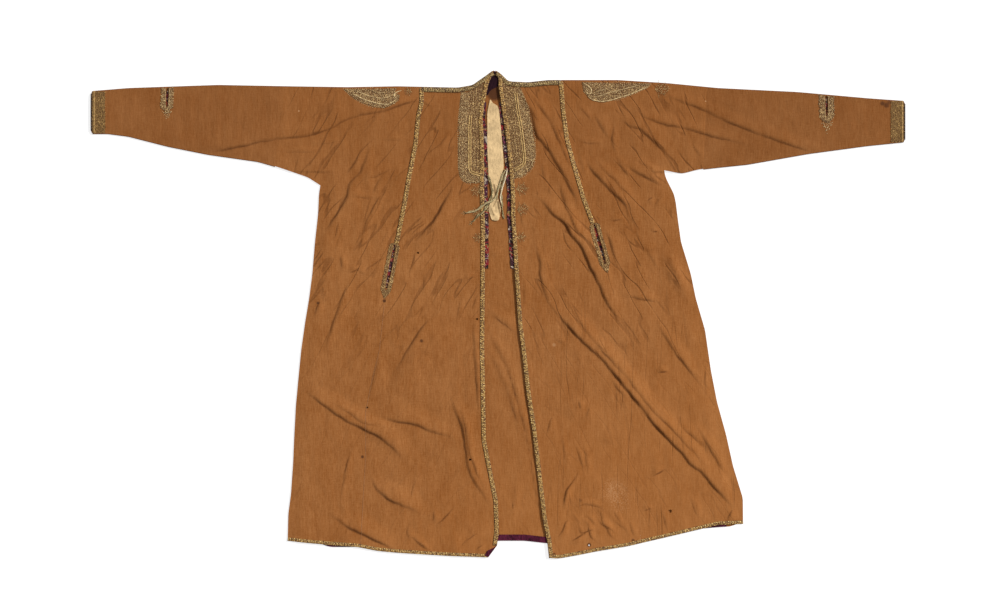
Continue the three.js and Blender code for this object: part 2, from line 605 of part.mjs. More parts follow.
// ---------------------------------------------------------------- braid and couched embroidery
function makeTrims(half) {
  const { name, side, frontEdge, seam, plastron, boteh, pocket, sideEdge, neck } = half;
  const foldClip = aboveFold(FOLD_RADIUS + 0.6);
  const inside = (distance) => shift(span(frontEdge, 548, FOOT_Y), side * distance);
  const edgeStrip = (extra) => [...inside(-20), ...reversed(inside(BRAID_WIDTH + extra))];
  const wholeHalf = [...inside(0), ...reversed(span(sideEdge, sideEdge[0][1], FOOT_Y))];
  const panel = trimSheet.subtract(foldClip).subtract(belowFrontHem);
  const clearOf = (...outlines) =>
    outlines.map((outline) => prism(outline, LOW, HIGH)).reduce((all, one) => all.add(one));

  const frontBraid = prism([...inside(0), ...reversed(inside(BRAID_WIDTH))], LOW, HIGH);
  const seamLine = span(seam, TOP_Y, pocket.slit[0][1] + 9);
  const seamStrip = (extra) => around(seamLine, BRAID_WIDTH / 2 + extra, 0, extra);
  const seamFrom = xAt(seam, 520);
  const shoulderFrom = side < 0 ? [seamFrom, -8] : [-8, seamFrom];
  const shoulderTop = across(TOP_EDGE, ...shoulderFrom);
  const shoulderStrip = (extra) => [
    ...shift(shoulderTop, 0, 4),
    ...reversed(shift(shoulderTop, 0, -FOLD_RADIUS - BRAID_WIDTH - 2 - extra)),
  ];
  const hemFrom = side < 0 ? [-474, -3] : [115, 552];
  const hemLine = across(FRONT_HEM, ...hemFrom);
  const hemStrip = (extra) => [
    ...shift(hemLine, 0, -30),
    ...reversed(shift(hemLine, 0, HEM_BRAID_WIDTH + extra)),
  ];
  const edgeCut = prism(edgeStrip(GAP), LOW, HIGH);
  const seamCut = prism(seamStrip(GAP), LOW, HIGH);
  const shoulderCut = prism(shoulderStrip(GAP), LOW, HIGH);

  addTrim(`front_braid_${name}`, panel.intersect(frontBraid), COLOUR.braid);
  addTrim(`seam_braid_${name}`, panel.intersect(prism(seamStrip(0), LOW, HIGH)), COLOUR.braid);
  const shoulder = panel.intersect(prism(shoulderStrip(0), LOW, HIGH)).subtract(edgeCut).subtract(seamCut);
  addTrim(`shoulder_braid_${name}`, shoulder, COLOUR.braid);
  const hem = panel
    .intersect(prism(hemStrip(0), LOW, HIGH))
    .intersect(prism(wholeHalf, LOW, HIGH))
    .subtract(edgeCut);
  addTrim(`hem_braid_${name}`, hem, COLOUR.braid);
  const neckRow = reversed(span(frontEdge, plastron[0][1], plastron[plastron.length - 1][1]));
  const yoke = panel
    .intersect(prism([...plastron, ...neckRow], LOW, HIGH))
    .subtract(edgeCut)
    .subtract(shoulderCut);
  addTrim(`plastron_${name}`, yoke, COLOUR.couching);
  addTrim(`boteh_${name}`, panel.intersect(prism(boteh, LOW, HIGH)).subtract(seamCut), COLOUR.couching);
  const pocketRing = panel
    .intersect(prism(around(pocket.slit, pocket.border + 4, 5, 22), LOW, HIGH))
    .subtract(prism(lens(pocket.slit, pocket.width + 2), LOW, HIGH))
    .subtract(seamCut);
  addTrim(`pocket_border_${name}`, pocketRing, COLOUR.couching);
}

function addTrim(name, solid, colour) {
  addSolid(name, solid, colour, 0.6, 0.35);
}

function makeSleeveTrims({ name, side, underside, wrist }) {
  const end = side * CUFF.length;
  const inner = side * 640;
  const sheet = sleeveUpper(underside, Math.min(end, inner), Math.max(end, inner), GAP, BRAID);
  const [a, b] = [side * CUFF.outer, side * CUFF.inner];
  const band = prism([[a, 300], [b, 300], [b, 560], [a, 560]], LOW, HIGH);
  addTrim(`cuff_band_${name}`, sheet.intersect(band), COLOUR.braid);
  const border = sheet
    .intersect(prism(around(wrist.slit, wrist.border, 0, 16), LOW, HIGH))
    .subtract(prism(lens(wrist.slit, wrist.width + 2), LOW, HIGH));
  addTrim(`wrist_border_${name}`, border, COLOUR.couching);
}

for (const half of HALVES) {
  makeTrims(half);
  makeSleeveTrims(half);
}

// ---------------------------------------------------------------- tie cords, loose in the neck opening
const CORD_SIDES = 8;
const CORD_STEP = 8;
function cordTube(points) {
  const curve = new THREE.CatmullRomCurve3(points.map(([x, y, z]) => new THREE.Vector3(x, y, z)));
  const corners = Array.from({ length: CORD_SIDES }, (_, k) => {
    const turn = (2 * Math.PI * k) / CORD_SIDES;
    return new THREE.Vector2(CORD_RADIUS * Math.cos(turn), CORD_RADIUS * Math.sin(turn));
  });
  const section = new THREE.Shape(corners);
  const geometry = new THREE.ExtrudeGeometry(section, {
    steps: Math.round(curve.getLength() / CORD_STEP),
    extrudePath: curve,
    bevelEnabled: false,
  });
  return toManifold(geometry);
}
// Routes [x, y, z]: each starts at a front edge, meets the others below the lining and has a free end.
const TIES = [
  {
    name: "tie_cord_right",
    route: [
      [-24, 316, 4.1], [-16, 300, 4.1], [-13, 284, 4.1], [-14, 270, 4.1], [-18, 258, 4.1], [-22, 249, 4.6],
      [-26, 243, 6.4], [-32, 236, 7.2], [-42, 226, 7.1], [-50, 218, 6.2], [-57, 212, 5.8],
    ],
  },
  {
    name: "tie_cord_left",
    route: [
      [17, 328, 4.1], [9, 312, 4.1], [4, 298, 4.1], [1, 282, 4.2], [-3, 268, 5.2], [-11, 259, 7.1],
      [-20, 255, 7.4], [-30, 250, 7.2], [-42, 241, 7.1], [-56, 233, 5.9], [-71, 231, 5.8],
    ],
  },
  {
    name: "tie_cord_loose",
    route: [[16, 316, 2.8], [10, 296, 2.8], [7, 276, 2.8], [8, 258, 2.8], [9.5, 240, 2.8], [14, 218, 2.8]],
  },
];
for (const { name, route } of TIES) addSolid(name, cordTube(route), COLOUR.cord);

export default abaya;
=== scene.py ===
"""An abaya laid flat: the finish of its cotton, gold braid, couched embroidery, linings and tie cords.

Lengths in the tables are millimetres in the part's frame: X across the coat, Y towards the neck, Z up from
the surface that it lies on.  "right" and "left" are the wearer's, so the right half lies at negative x.
"""
from collections import namedtuple

import bpy
import numpy as np
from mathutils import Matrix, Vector


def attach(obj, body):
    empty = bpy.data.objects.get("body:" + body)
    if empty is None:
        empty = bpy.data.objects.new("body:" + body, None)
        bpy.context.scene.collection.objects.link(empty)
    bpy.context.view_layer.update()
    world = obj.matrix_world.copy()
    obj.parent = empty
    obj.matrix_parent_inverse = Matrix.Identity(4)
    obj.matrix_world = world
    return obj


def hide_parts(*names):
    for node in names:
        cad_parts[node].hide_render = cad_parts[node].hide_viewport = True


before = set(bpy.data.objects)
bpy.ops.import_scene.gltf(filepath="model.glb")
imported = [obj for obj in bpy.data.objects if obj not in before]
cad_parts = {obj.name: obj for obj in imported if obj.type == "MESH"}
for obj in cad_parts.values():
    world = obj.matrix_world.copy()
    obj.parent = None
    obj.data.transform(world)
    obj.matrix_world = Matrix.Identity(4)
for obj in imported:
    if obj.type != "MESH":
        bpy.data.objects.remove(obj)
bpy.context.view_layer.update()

bl_info = {
    "name": "Abaya, laid flat",
    "version": (1, 0, 0),
    "blender": (4, 5, 0),
    "location": "3D View > Sidebar > Abaya",
    "description": "Cloth, braid, embroidery, linings and ties of an open-front coat, over its CAD solids",
    "category": "Object",
}

MM = 0.001

# ---------------------------------------------------------------- the cloth and how it is layered, in mm
CLOTH = 1.2  # wall of the cotton
LINING = 1.0  # wall of linings and facings
GAP = 0.3  # clear space between pieces
BASE = CLOTH + LINING + 2 * GAP  # underside of the upper cloth, over a facing
EDGE_BASE = CLOTH + GAP  # underside of the upper cloth at its side seams
EDGE_EASE = 34.0  # width over which the cloth comes down to its side seam
FOLD_RADIUS = (BASE + CLOTH) / 2
SHOULDER_TURN = 13.0  # how far the back comes over the shoulder to its seam
BRAID_WIDTH = 10.0
BRAID_PLAIT = 0.16  # height of the braid's plaits
HEM_BRAID_WIDTH = 8.0
CORD_RADIUS = 1.3
RELIEF_LIMIT = 10.0  # no crease stands higher than this over the flat cloth

# ---------------------------------------------------------------- edges, rows of x, y
# The shoulder fold, from the right cuff over the neck to the left cuff.
TOP_EDGE = [
    (-930, 504), (-832, 512), (-630, 519), (-472, 516), (-338, 514), (-225, 516), (-90, 513), (-56, 519),
    (-45, 528), (-23, 543), (-8, 555), (8, 543), (24, 527), (68, 525), (112, 530), (270, 530), (382, 523),
    (495, 512), (675, 503), (832, 489), (930, 482),
]
# The underside of the sleeves, between the cuff and the armpit.
RIGHT_UNDERSIDE = [
    (-930, 408), (-878, 408), (-832, 402), (-742, 379), (-652, 361), (-540, 345), (-495, 332), (-428, 309),
    (-400, 291),
]
LEFT_UNDERSIDE = [
    (374, 325), (414, 317), (452, 327), (495, 332), (562, 339), (698, 363), (832, 381), (930, 391),
]
FRONT_HEM = [
    (-474, -507), (-428, -512), (-382, -516), (-315, -521), (-270, -530), (-225, -534), (-112, -541),
    (0, -545), (112, -545), (135, -547), (180, -539), (225, -530), (292, -519), (360, -503), (428, -487),
    (495, -471), (552, -469),
]
BACK_HEM = [
    (-474, -503), (-402, -513), (-378, -521), (-340, -521), (-270, -521), (-112, -517), (2, -507),
    (60, -507), (112, -513), (225, -505), (360, -489), (432, -482), (500, -476), (524, -475), (552, -463),
]
# Edges that run down the coat.
RIGHT_FRONT_EDGE = [
    (-9, 554), (-14, 538), (-21, 525), (-24, 507), (-29, 485), (-35, 442), (-33, 417), (-31, 372),
    (-31, 271), (-29, 201), (-30, 19), (-31, -66), (-27, -280), (-19, -323), (0, -417), (2, -485),
    (-2, -516), (-3, -546),
]
LEFT_FRONT_EDGE = [
    (-6, 554), (1, 540), (1, 514), (8, 465), (13, 435), (20, 381), (26, 321), (29, 273), (29, 224),
    (31, 199), (37, 100), (45, -21), (51, -64), (64, -177), (76, -255), (88, -357), (100, -458),
    (110, -505), (115, -548),
]
RIGHT_SEAM = [
    (-172, 540), (-172, 476), (-179, 451), (-185, 388), (-201, 307), (-209, 258), (-226, 172),
    (-239, 125), (-252, 58), (-267, -80), (-284, -147), (-298, -217), (-298, -321), (-304, -424),
    (-310, -540),
]
LEFT_SEAM = [
    (140, 550), (146, 465), (155, 397), (169, 345), (192, 264), (209, 219), (226, 168), (241, 116),
    (244, 80), (257, -33), (279, -190), (304, -348), (324, -530),
]
RIGHT_SLEEVE_SEAM = [(-486, 540), (-486, 516), (-492, 433), (-494, 397), (-500, 368), (-504, 300)]
LEFT_SLEEVE_SEAM = [(471, 540), (470, 514), (468, 462), (465, 395), (461, 300)]
RIGHT_SIDE = [
    (-400, 291), (-403, 273), (-405, 228), (-412, 165), (-418, 93), (-425, 39), (-434, -15), (-443, -78),
    (-450, -150), (-455, -204), (-459, -280), (-461, -330), (-466, -402), (-472, -447), (-474, -530),
]
LEFT_SIDE = [
    (374, 324), (378, 309), (387, 291), (396, 273), (400, 255), (405, 215), (412, 165), (434, 93),
    (445, 39), (466, -33), (479, -123), (493, -195), (513, -267), (529, -339), (540, -375), (551, -411),
    (552, -520),
]
RIGHT_BACK_SEAM = [(-172, 540), (-172, 300), (-140, -540)]
LEFT_BACK_SEAM = [(140, 550), (142, 300), (214, -540)]

# ---------------------------------------------------------------- trims and openings
RIGHT_PLASTRON = [(-82, 506), (-88, 442), (-89, 334), (-84, 309), (-71, 298), (-43, 297)]
LEFT_PLASTRON = [(50, 512), (68, 466), (81, 403), (84, 361), (79, 334), (58, 314), (38, 308)]
RIGHT_BOTEH = [
    (-346, 509), (-326, 490), (-304, 478), (-277, 469), (-254, 466), (-236, 474), (-222, 485), (-221, 497),
    (-233, 501), (-226, 511),
]
LEFT_BOTEH = [
    (189, 525), (193, 501), (202, 494), (214, 483), (236, 479), (268, 487), (302, 498), (333, 512),
    (344, 521),
]
Slit = namedtuple("Slit", "line border width")
RIGHT_POCKET = Slit([(-232, 159), (-239, 125), (-252, 58)], 8, 7)
LEFT_POCKET = Slit([(217, 204), (226, 168), (232, 151), (241, 116)], 8, 7)
RIGHT_WRIST = Slit([(-743, 530), (-744, 500), (-745, 469)], 14, 5)
LEFT_WRIST = Slit([(738, 520), (739, 480), (740, 447)], 17, 5)
CUFF_OUTER, CUFF_INNER, CUFF_END = 910, 884, 916  # distances from the middle of the coat
RIGHT_GUSSET = [(-500, 372), (-477, 368), (-464, 336), (-459, 316)]
LEFT_GUSSET = [(466, 418), (433, 404), (455, 336), (458, 318)]
Hole = namedtuple("Hole", "x y size")
HOLES = [
    Hole(-180, 141, 5), Hole(-47, -8, 5), Hole(-295, -207, 5), Hole(-63, -324, 5), Hole(387, -440, 7),
    Hole(205, -517, 4),
]
CREAM = [
    (-18, 485), (-24, 458), (-24, 372), (-21, 314), (-14, 298), (-11, 273), (-22, 240), (-14, 214),
    (2, 213), (7, 240), (-4, 278), (2, 298), (13, 332), (12, 357), (7, 417), (2, 467),
]
COLLAR_LINING = [
    (-8, 551), (1, 538), (2, 516), (-8, 512), (-18, 506), (-24, 494), (-28, 498), (-24, 516), (-21, 530),
    (-13, 541),
]
NECK_RIGHT, NECK_LEFT = -46, 26  # where the shoulder seams end at the neck
FACING_TOP, FACING_BOTTOM, FACING_SHOWN, FACING_HIDDEN = 480, 106, 8, 10
HEM_FACING_WIDTH = 14

# Tie cords, rows of x, y, z: each starts at a front edge and has a free end.
TIE_RIGHT = [
    (-24, 316, 4.1), (-16, 300, 4.1), (-13, 284, 4.1), (-14, 270, 4.1), (-18, 258, 4.1), (-22, 249, 4.6),
    (-26, 243, 6.4), (-32, 236, 7.2), (-42, 226, 7.1), (-50, 218, 6.2), (-57, 212, 5.8),
]
TIE_LEFT = [
    (17, 328, 4.1), (9, 312, 4.1), (4, 298, 4.1), (1, 282, 4.2), (-3, 268, 5.2), (-11, 259, 7.1),
    (-20, 255, 7.4), (-30, 250, 7.2), (-42, 241, 7.1), (-56, 233, 5.9), (-71, 231, 5.8),
]
TIE_LOOSE = [(16, 316, 2.8), (10, 296, 2.8), (7, 276, 2.8), (8, 258, 2.8), (9.5, 240, 2.8), (14, 218, 2.8)]
PALE_STRAND = [(21, 330), (17, 310), (9, 284), (5, 266), (8, 250)]
PALE_LEVEL = 3.4  # the height at which the pale strand lies
# Bright lines of the chest panels, and where each turns in at its foot.
RIGHT_LINE = [(-60, 508), (-64, 450), (-66, 424), (-66, 330)]
RIGHT_TURN = [(-63, 321), (-52, 317), (-40, 314)]
LEFT_LINE = [(42, 500), (46, 467), (54, 423), (59, 383), (62, 352)]
LEFT_TURN = [(60, 339), (48, 331), (38, 325)]
# Curls and inner lines of the shoulder motifs.
RIGHT_CURLS = [
    [(-217, 506), (-225, 504), (-234, 499), (-235, 494), (-227, 487)],
    [(-328, 500), (-304, 487), (-276, 478), (-250, 474), (-235, 481), (-229, 488)],
    [(-320, 505), (-290, 494), (-262, 488), (-244, 492), (-240, 500)],
    [(-284, 506), (-268, 500), (-252, 503)],
]
LEFT_CURLS = [
    [(191, 523), (202, 517), (210, 510), (210, 500), (205, 497), (199, 500), (200, 506)],
    [(202, 493), (212, 485), (232, 481), (253, 484), (276, 491), (296, 497), (322, 508), (338, 515)],
    [(212, 490), (230, 494), (250, 501), (286, 510), (317, 518)],
    [(222, 503), (244, 510), (262, 518)],
]
# Sprigs, rows of x, y, turn, size.
SPRIGS = [
    (40, 284, 0.1, 28), (42, 238, 0.15, 27), (43, 176, 0.1, 20), (-38, 279, 3.0, 25), (-38, 231, 3.1, 22),
    (-38, 175, 3.1, 18), (352, 510, 0.0, 34), (-194, 503, 3.0, 16),
]

# ---------------------------------------------------------------- creases
# A crease rises from its foot to its crest on one side and falls away softly on the other, the side that
# looks up and to the left of the wearer.  Its points x, y run along the steep side.  The last field of a
# kind gives how dark the painted shade along its foot is.  The heights and widths of each kind are in mm.
Kind = namedtuple("Kind", "height foot crest fall soil")
DEEP = Kind(3.5, 3.2, 3.8, 42.0, 0.86)
CLEAR = Kind(2.4, 2.8, 3.4, 27.0, 0.82)
FINE = Kind(1.10, 2.1, 2.6, 14.0, 0.80)
BROAD = Kind(4.6, 18.0, 14.0, 46.0, 0.0)
Crease = namedtuple("Crease", "kind strength line")


def crease_rows(*rows):
    """Creases from rows of a kind, a strength and the points of its line."""
    return [Crease(kind, strength, line) for kind, strength, *line in rows]


# right half
RIGHT_CREASES = crease_rows(
    (DEEP, 0.8, (-690, 358), (-655, 366), (-578, 381), (-542, 390), (-493, 399), (-430, 404), (-378, 422),
        (-346, 440), (-304, 454), (-261, 460), (-225, 472), (-194, 483), (-171, 483), (-146, 472)),
    (FINE, 1, (-310, 420), (-290, 440), (-256, 460)),
    (FINE, 1, (-436, 384), (-382, 388), (-340, 395)),
    (FINE, 1, (-518, 372), (-468, 368), (-378, 370)),
    (DEEP, 1.1, (-282, 397), (-295, 361), (-308, 322), (-336, 296), (-338, 269), (-358, 233),
        (-382, 199), (-405, 172)),
    (FINE, 1.4, (-297, 399), (-317, 350), (-338, 321), (-346, 303)),
    (CLEAR, 1, (-310, 303), (-274, 314), (-227, 336)),
    (FINE, 1.6, (-227, 305), (-268, 264), (-297, 208), (-318, 143)),
    (DEEP, 1.25, (-92, 314), (-106, 282), (-122, 251), (-146, 210), (-186, 168), (-214, 152)),
    (CLEAR, 1.5, (-240, 140), (-279, 114), (-310, 92)),
    (FINE, 1.2, (-148, 219), (-189, 188), (-207, 163)),
    (CLEAR, 1.1, (-322, 100), (-340, 64), (-358, 21), (-376, -33), (-396, -89)),
    (FINE, 1.3, (-396, 42), (-418, -10)),
    (FINE, 1.5, (-110, 411), (-135, 377)),
    (FINE, 1, (-144, 381), (-176, 350)),
    (FINE, 1.2, (-182, 154), (-191, 120), (-204, 82)),
    (FINE, 1.3, (-164, 100), (-168, 42)),
    (FINE, 1.2, (-45, 93), (-79, 75)),
    (FINE, 0.8, (-277, 397), (-234, 395), (-194, 395)),
    (FINE, 1, (-353, 224), (-371, 159)),
    (FINE, 1, (-245, 336), (-274, 291), (-292, 255)),
    (CLEAR, 1, (-115, 28), (-166, -21), (-200, -73), (-220, -109), (-250, -147)),
    (BROAD, 0.8, (-86, -12), (-135, -37), (-187, -69), (-230, -147), (-268, -188)),
    (CLEAR, 1, (-55, 17), (-55, -55), (-50, -120), (-46, -181), (-45, -233)),
    (DEEP, 1.1, (-446, -161), (-421, -179), (-387, -206), (-340, -237), (-297, -258),
        (-270, -271), (-236, -298), (-205, -334)),
    (CLEAR, 1, (-385, -190), (-333, -219), (-304, -242), (-270, -246), (-232, -258)),
    (DEEP, 1, (-290, -222), (-232, -237), (-187, -244), (-153, -260), (-108, -271), (-94, -291)),
    (DEEP, 1, (-110, -165), (-98, -210), (-81, -251), (-72, -303), (-68, -341), (-54, -375),
        (-29, -411), (-11, -440)),
    (FINE, 1.6, (-94, -181), (-83, -215), (-72, -258), (-63, -314), (-45, -359), (-25, -397)),
    (DEEP, 1.25, (-288, -354), (-277, -388), (-250, -411), (-218, -426), (-187, -438), (-166, -454)),
    (DEEP, 1.0, (-392, -442), (-367, -454), (-340, -476), (-304, -492), (-267, -510),
        (-236, -525), (-205, -520)),
    (FINE, 1.3, (-198, -460), (-205, -489), (-194, -516)),
    (FINE, 1.5, (-191, -503), (-171, -520), (-146, -530)),
    (FINE, 1.5, (-142, -433), (-146, -471)),
    (FINE, 1.4, (-322, -282), (-340, -334), (-358, -431)),
    (BROAD, 0.5, (-140, -528), (-108, -501), (-72, -480)),
    (BROAD, 0.7, (-282, -366), (-250, -411), (-210, -432), (-160, -456)),
    (BROAD, 0.6, (-330, -242), (-282, -268), (-236, -298), (-196, -340)),
    (FINE, 1.2, (-90, -530), (-72, -507), (-63, -494)),
    (FINE, 1.2, (-54, -532), (-27, -512)),
    (FINE, 0.6, (-335, -471), (-349, -431), (-362, -415)),
    (FINE, 1.1, (-176, 485), (-159, 474), (-142, 469)),
    (FINE, 1.1, (-108, 415), (-125, 389), (-153, 367), (-176, 341)),
    (FINE, 0.9, (-153, 223), (-176, 204), (-198, 192), (-215, 164)),
    (FINE, 0.9, (-190, 361), (-198, 336), (-226, 313), (-243, 288)),
    (FINE, 1.2, (-354, 142), (-351, 119), (-354, 97)),
    (FINE, 1.2, (-343, 97), (-322, 100), (-305, 114)),
    (FINE, 1.1, (-322, 113), (-308, 96), (-292, 91)),
    (FINE, 1.0, (-29, 63), (-46, 46), (-57, 18), (-69, 7)),
    (FINE, 0.9, (-74, 52), (-88, 24), (-90, -4), (-102, -27)),
    (FINE, 0.7, (-384, 274), (-322, 268), (-266, 263), (-220, 253)),
    (FINE, 0.8, (-243, 215), (-251, 181), (-274, 142)),
    (FINE, 0.8, (-302, 192), (-313, 147), (-322, 116)),
    (FINE, 0.9, (-340, 226), (-350, 192), (-362, 159), (-370, 114)),
    (CLEAR, 0.7, (-264, -55), (-272, -100), (-282, -151), (-296, -201)),
    (FINE, 1.3, (-206, -511), (-198, -494), (-176, -511), (-153, -530)),
    (FINE, 1.0, (-153, -480), (-130, -466), (-108, -443), (-86, -421)),
    (FINE, 0.8, (-184, -348), (-192, -387), (-198, -426)),
    (FINE, 1.1, (-97, -528), (-74, -511), (-52, -494), (-24, -483)),
)
# left half
LEFT_CREASES = crease_rows(
    (DEEP, 1.25, (40, 507), (56, 492), (74, 458), (86, 404), (104, 386), (122, 359), (146, 318),
        (171, 271), (182, 222)),
    (CLEAR, 1, (45, 516), (81, 487), (114, 444), (135, 397), (160, 343), (176, 300)),
    (FINE, 1.2, (63, 489), (79, 458), (97, 422)),
    (DEEP, 1.35, (74, 276), (104, 253), (122, 228), (150, 210), (164, 181), (189, 154),
        (207, 111), (225, 75), (243, 30), (264, -1), (274, -33)),
    (CLEAR, 0.9, (130, 323), (142, 282), (151, 251), (176, 190), (212, 156), (243, 96), (248, 64)),
    (CLEAR, 1.1, (74, 186), (83, 161), (96, 114), (94, 89), (114, 28), (142, -6)),
    (DEEP, 1.35, (114, 28), (142, -6), (191, -60), (238, -102), (281, -156), (328, -213),
        (356, -251), (416, -312), (432, -336), (454, -348), (482, -381), (522, -424), (537, -446)),
    (CLEAR, 0.9, (140, 48), (164, 17), (184, -15), (231, -75), (292, -141), (340, -204),
        (405, -269), (454, -323), (484, -357)),
    (FINE, 1.5, (250, -132), (268, -163), (292, -188)),
    (CLEAR, 1, (207, 458), (225, 438), (243, 404), (256, 397)),
    (FINE, 1.6, (264, 447), (256, 397), (263, 368), (268, 354)),
    (DEEP, 0.95, (263, 453), (272, 444), (292, 426), (317, 422), (346, 397), (376, 366),
        (400, 330)),
    (CLEAR, 1, (290, 478), (333, 444), (379, 429), (428, 420), (472, 406), (529, 393), (576, 379)),
    (CLEAR, 1, (346, 505), (387, 492), (468, 460), (511, 438), (569, 415), (626, 395),
        (677, 377), (711, 368), (752, 354)),
    (CLEAR, 0.9, (202, 372), (232, 332), (261, 307), (279, 287), (299, 264), (317, 251)),
    (DEEP, 1.15, (189, 366), (212, 325), (246, 289), (272, 264), (290, 246), (292, 228),
        (304, 210), (315, 192)),
    (DEEP, 0.9, (268, 359), (282, 340), (310, 323), (346, 305), (389, 282)),
    (FINE, 1.5, (272, 332), (288, 323), (299, 309)),
    (CLEAR, 1.4, (334, 342), (353, 318), (376, 300), (398, 284)),
    (FINE, 1.3, (340, 233), (379, 278)),
    (FINE, 1, (331, 255), (353, 269)),
    (CLEAR, 1, (230, 208), (250, 174), (261, 138), (274, 93)),
    (FINE, 1.2, (248, 213), (286, 217)),
    (FINE, 1.2, (342, 188), (364, 190)),
    (FINE, 1, (326, 143), (364, 154)),
    (BROAD, 0.9, (358, 156), (389, 93), (423, 46), (454, -8)),
    (CLEAR, 0.9, (270, 44), (317, 39), (376, 28)),
    (FINE, 1.6, (97, 350), (101, 323), (106, 296)),
    (FINE, 1, (112, 296), (119, 260)),
    (FINE, 0.8, (97, 181), (108, 125)),
    (CLEAR, 1.1, (353, -6), (369, -37), (405, -91), (432, -127), (464, -165)),
    (FINE, 1.2, (466, -87), (467, -199)),
    (CLEAR, 1, (432, -226), (475, -296), (502, -343), (538, -386)),
    (CLEAR, 0.8, (398, -224), (421, -258), (459, -289), (484, -323)),
    (FINE, 1.4, (459, -159), (504, -224)),
    (BROAD, 0.5, (144, -181), (169, -242)),
    (FINE, 1, (196, -235), (209, -201)),
    (FINE, 1.3, (180, -186), (187, -217)),
    (FINE, 1.2, (142, -242), (146, -291), (158, -359)),
    (FINE, 1, (106, -280), (119, -235), (133, -213)),
    (FINE, 1.2, (166, -276), (180, -306), (190, -338), (195, -374)),
    (FINE, 1.1, (190, -282), (198, -318), (203, -368)),
    (FINE, 1.6, (158, -372), (153, -404), (146, -442)),
    (FINE, 1.3, (164, -442), (178, -465), (194, -471)),
    (FINE, 1.6, (176, -458), (187, -492), (212, -480), (232, -487)),
    (FINE, 1.8, (212, -431), (230, -440), (236, -465), (256, -498), (274, -512)),
    (FINE, 1.2, (191, -447), (212, -460), (223, -483)),
    (FINE, 1.2, (256, -433), (272, -460), (286, -474)),
    (FINE, 1.8, (292, -456), (299, -476), (308, -503)),
    (FINE, 1.6, (382, -341), (362, -354), (342, -363)),
    (FINE, 1.2, (320, -442), (353, -431)),
    (FINE, 1.0, (370, -432), (376, -462), (384, -496)),
    (FINE, 1.0, (428, -398), (440, -430), (458, -470)),
    (CLEAR, 1.1, (531, -429), (522, -447), (513, -465)),
    (FINE, 1.6, (353, -127), (387, -125)),
    (FINE, 1, (230, -33), (248, -66)),
    (FINE, 1, (126, -55), (153, -62)),
    (CLEAR, 0.6, (320, 339), (353, 305), (382, 289)),
    (FINE, 0.8, (173, 479), (201, 451), (221, 423)),
    (FINE, 0.8, (173, 406), (190, 389), (230, 388), (252, 395)),
    (FINE, 1.0, (183, 367), (190, 333), (199, 305)),
    (FINE, 1.0, (156, 249), (168, 215), (184, 181), (201, 167)),
    (FINE, 0.7, (38, 249), (52, 226), (55, 192)),
    (FINE, 0.7, (58, 91), (61, 46), (55, 7)),
    (FINE, 1.0, (303, 361), (320, 344), (353, 327)),
    (FINE, 0.9, (432, 389), (449, 367), (463, 347)),
    (FINE, 0.8, (320, 170), (342, 136), (364, 91)),
    (FINE, 1.2, (266, 367), (274, 339), (300, 309)),
    (FINE, 1.3, (143, -438), (154, -393), (177, -363), (188, -333)),
    (FINE, 1.5, (124, -513), (147, -483), (154, -460), (177, -464)),
    (FINE, 1.6, (184, -453), (203, -468), (207, -498), (230, -513)),
    (FINE, 1.6, (214, -438), (230, -468), (260, -483), (267, -513)),
    (FINE, 1.0, (252, -453), (290, -483), (297, -505)),
    (FINE, 1.4, (154, -513), (184, -498), (207, -483)),
    (FINE, 1.5, (162, -441), (192, -423), (230, -430), (252, -453)),
    (FINE, 1.0, (436, -404), (447, -430), (456, -456)),
)
# back
BACK_CREASES = crease_rows(
    (CLEAR, 0.8, (-34, 17), (2, -8), (32, -33), (54, -51)),
    (CLEAR, 0.9, (-32, -64), (-2, -114), (22, -170), (40, -226), (51, -289)),
    (CLEAR, 1, (-32, -21), (-2, -73), (22, -118), (40, -177), (56, -235), (72, -305),
        (83, -379), (94, -435), (106, -487)),
    (FINE, 1.6, (45, -359), (34, -429), (25, -476)),
    (FINE, 1, (-22, 134), (14, 143)),
    (FINE, 0.6, (-22, 24), (11, 33)),
    (FINE, 0.8, (4, -372), (0, -415)),
)


# ---------------------------------------------------------------- lines and outlines
def smooth(t):
    """3t² - 2t³, with t held between 0 and 1."""
    t = np.clip(t, 0.0, 1.0)
    return t * t * (3.0 - 2.0 * t)


def evenly(points, step):
    """The points at even steps of arc length along a line of points."""
    points = np.asarray(points, float)
    along = np.r_[0.0, np.cumsum(np.linalg.norm(np.diff(points, axis=0), axis=1))]
    stops = np.linspace(0.0, along[-1], max(3, int(round(along[-1] / step)) + 1))
    return np.column_stack([np.interp(stops, along, column) for column in points.T])


def soften(points, step=4.0, reach=10.0):
    """An evenly stepped line whose corners are rounded: each point is the mean of those within reach of it,
    with the weight of half a cosine.  The line is reflected through its ends, so they stay in place."""
    line = evenly(points, step)
    half = min(int(round(reach / step)), len(line) - 2)
    weight = 1.0 + np.cos(np.pi * np.arange(-half, half + 1) / (half + 1))
    before = 2 * line[0] - line[half:0:-1]
    after = 2 * line[-1] - line[-2 : -half - 2 : -1]
    padded = np.vstack([before, line, after])
    return np.column_stack([np.convolve(c, weight / weight.sum(), "valid") for c in padded.T])


def x_at(edge, y):
    """x of an edge that runs down the coat, at y."""
    return np.interp(-np.asarray(y, float), -edge[:, 1], edge[:, 0])


def y_at(edge, x):
    """y of an edge that runs across the coat, at x."""
    return np.interp(x, edge[:, 0], edge[:, 1])


def meet(down, over, lift=0.0):
    """The point where an edge that runs down crosses one that runs over, raised by lift: each is looked up
    from the other until they agree."""
    y = over[:, 1].mean()
    for _ in range(8):
        y = float(y_at(over, x_at(down, y))) + lift
    return float(x_at(down, y)), y


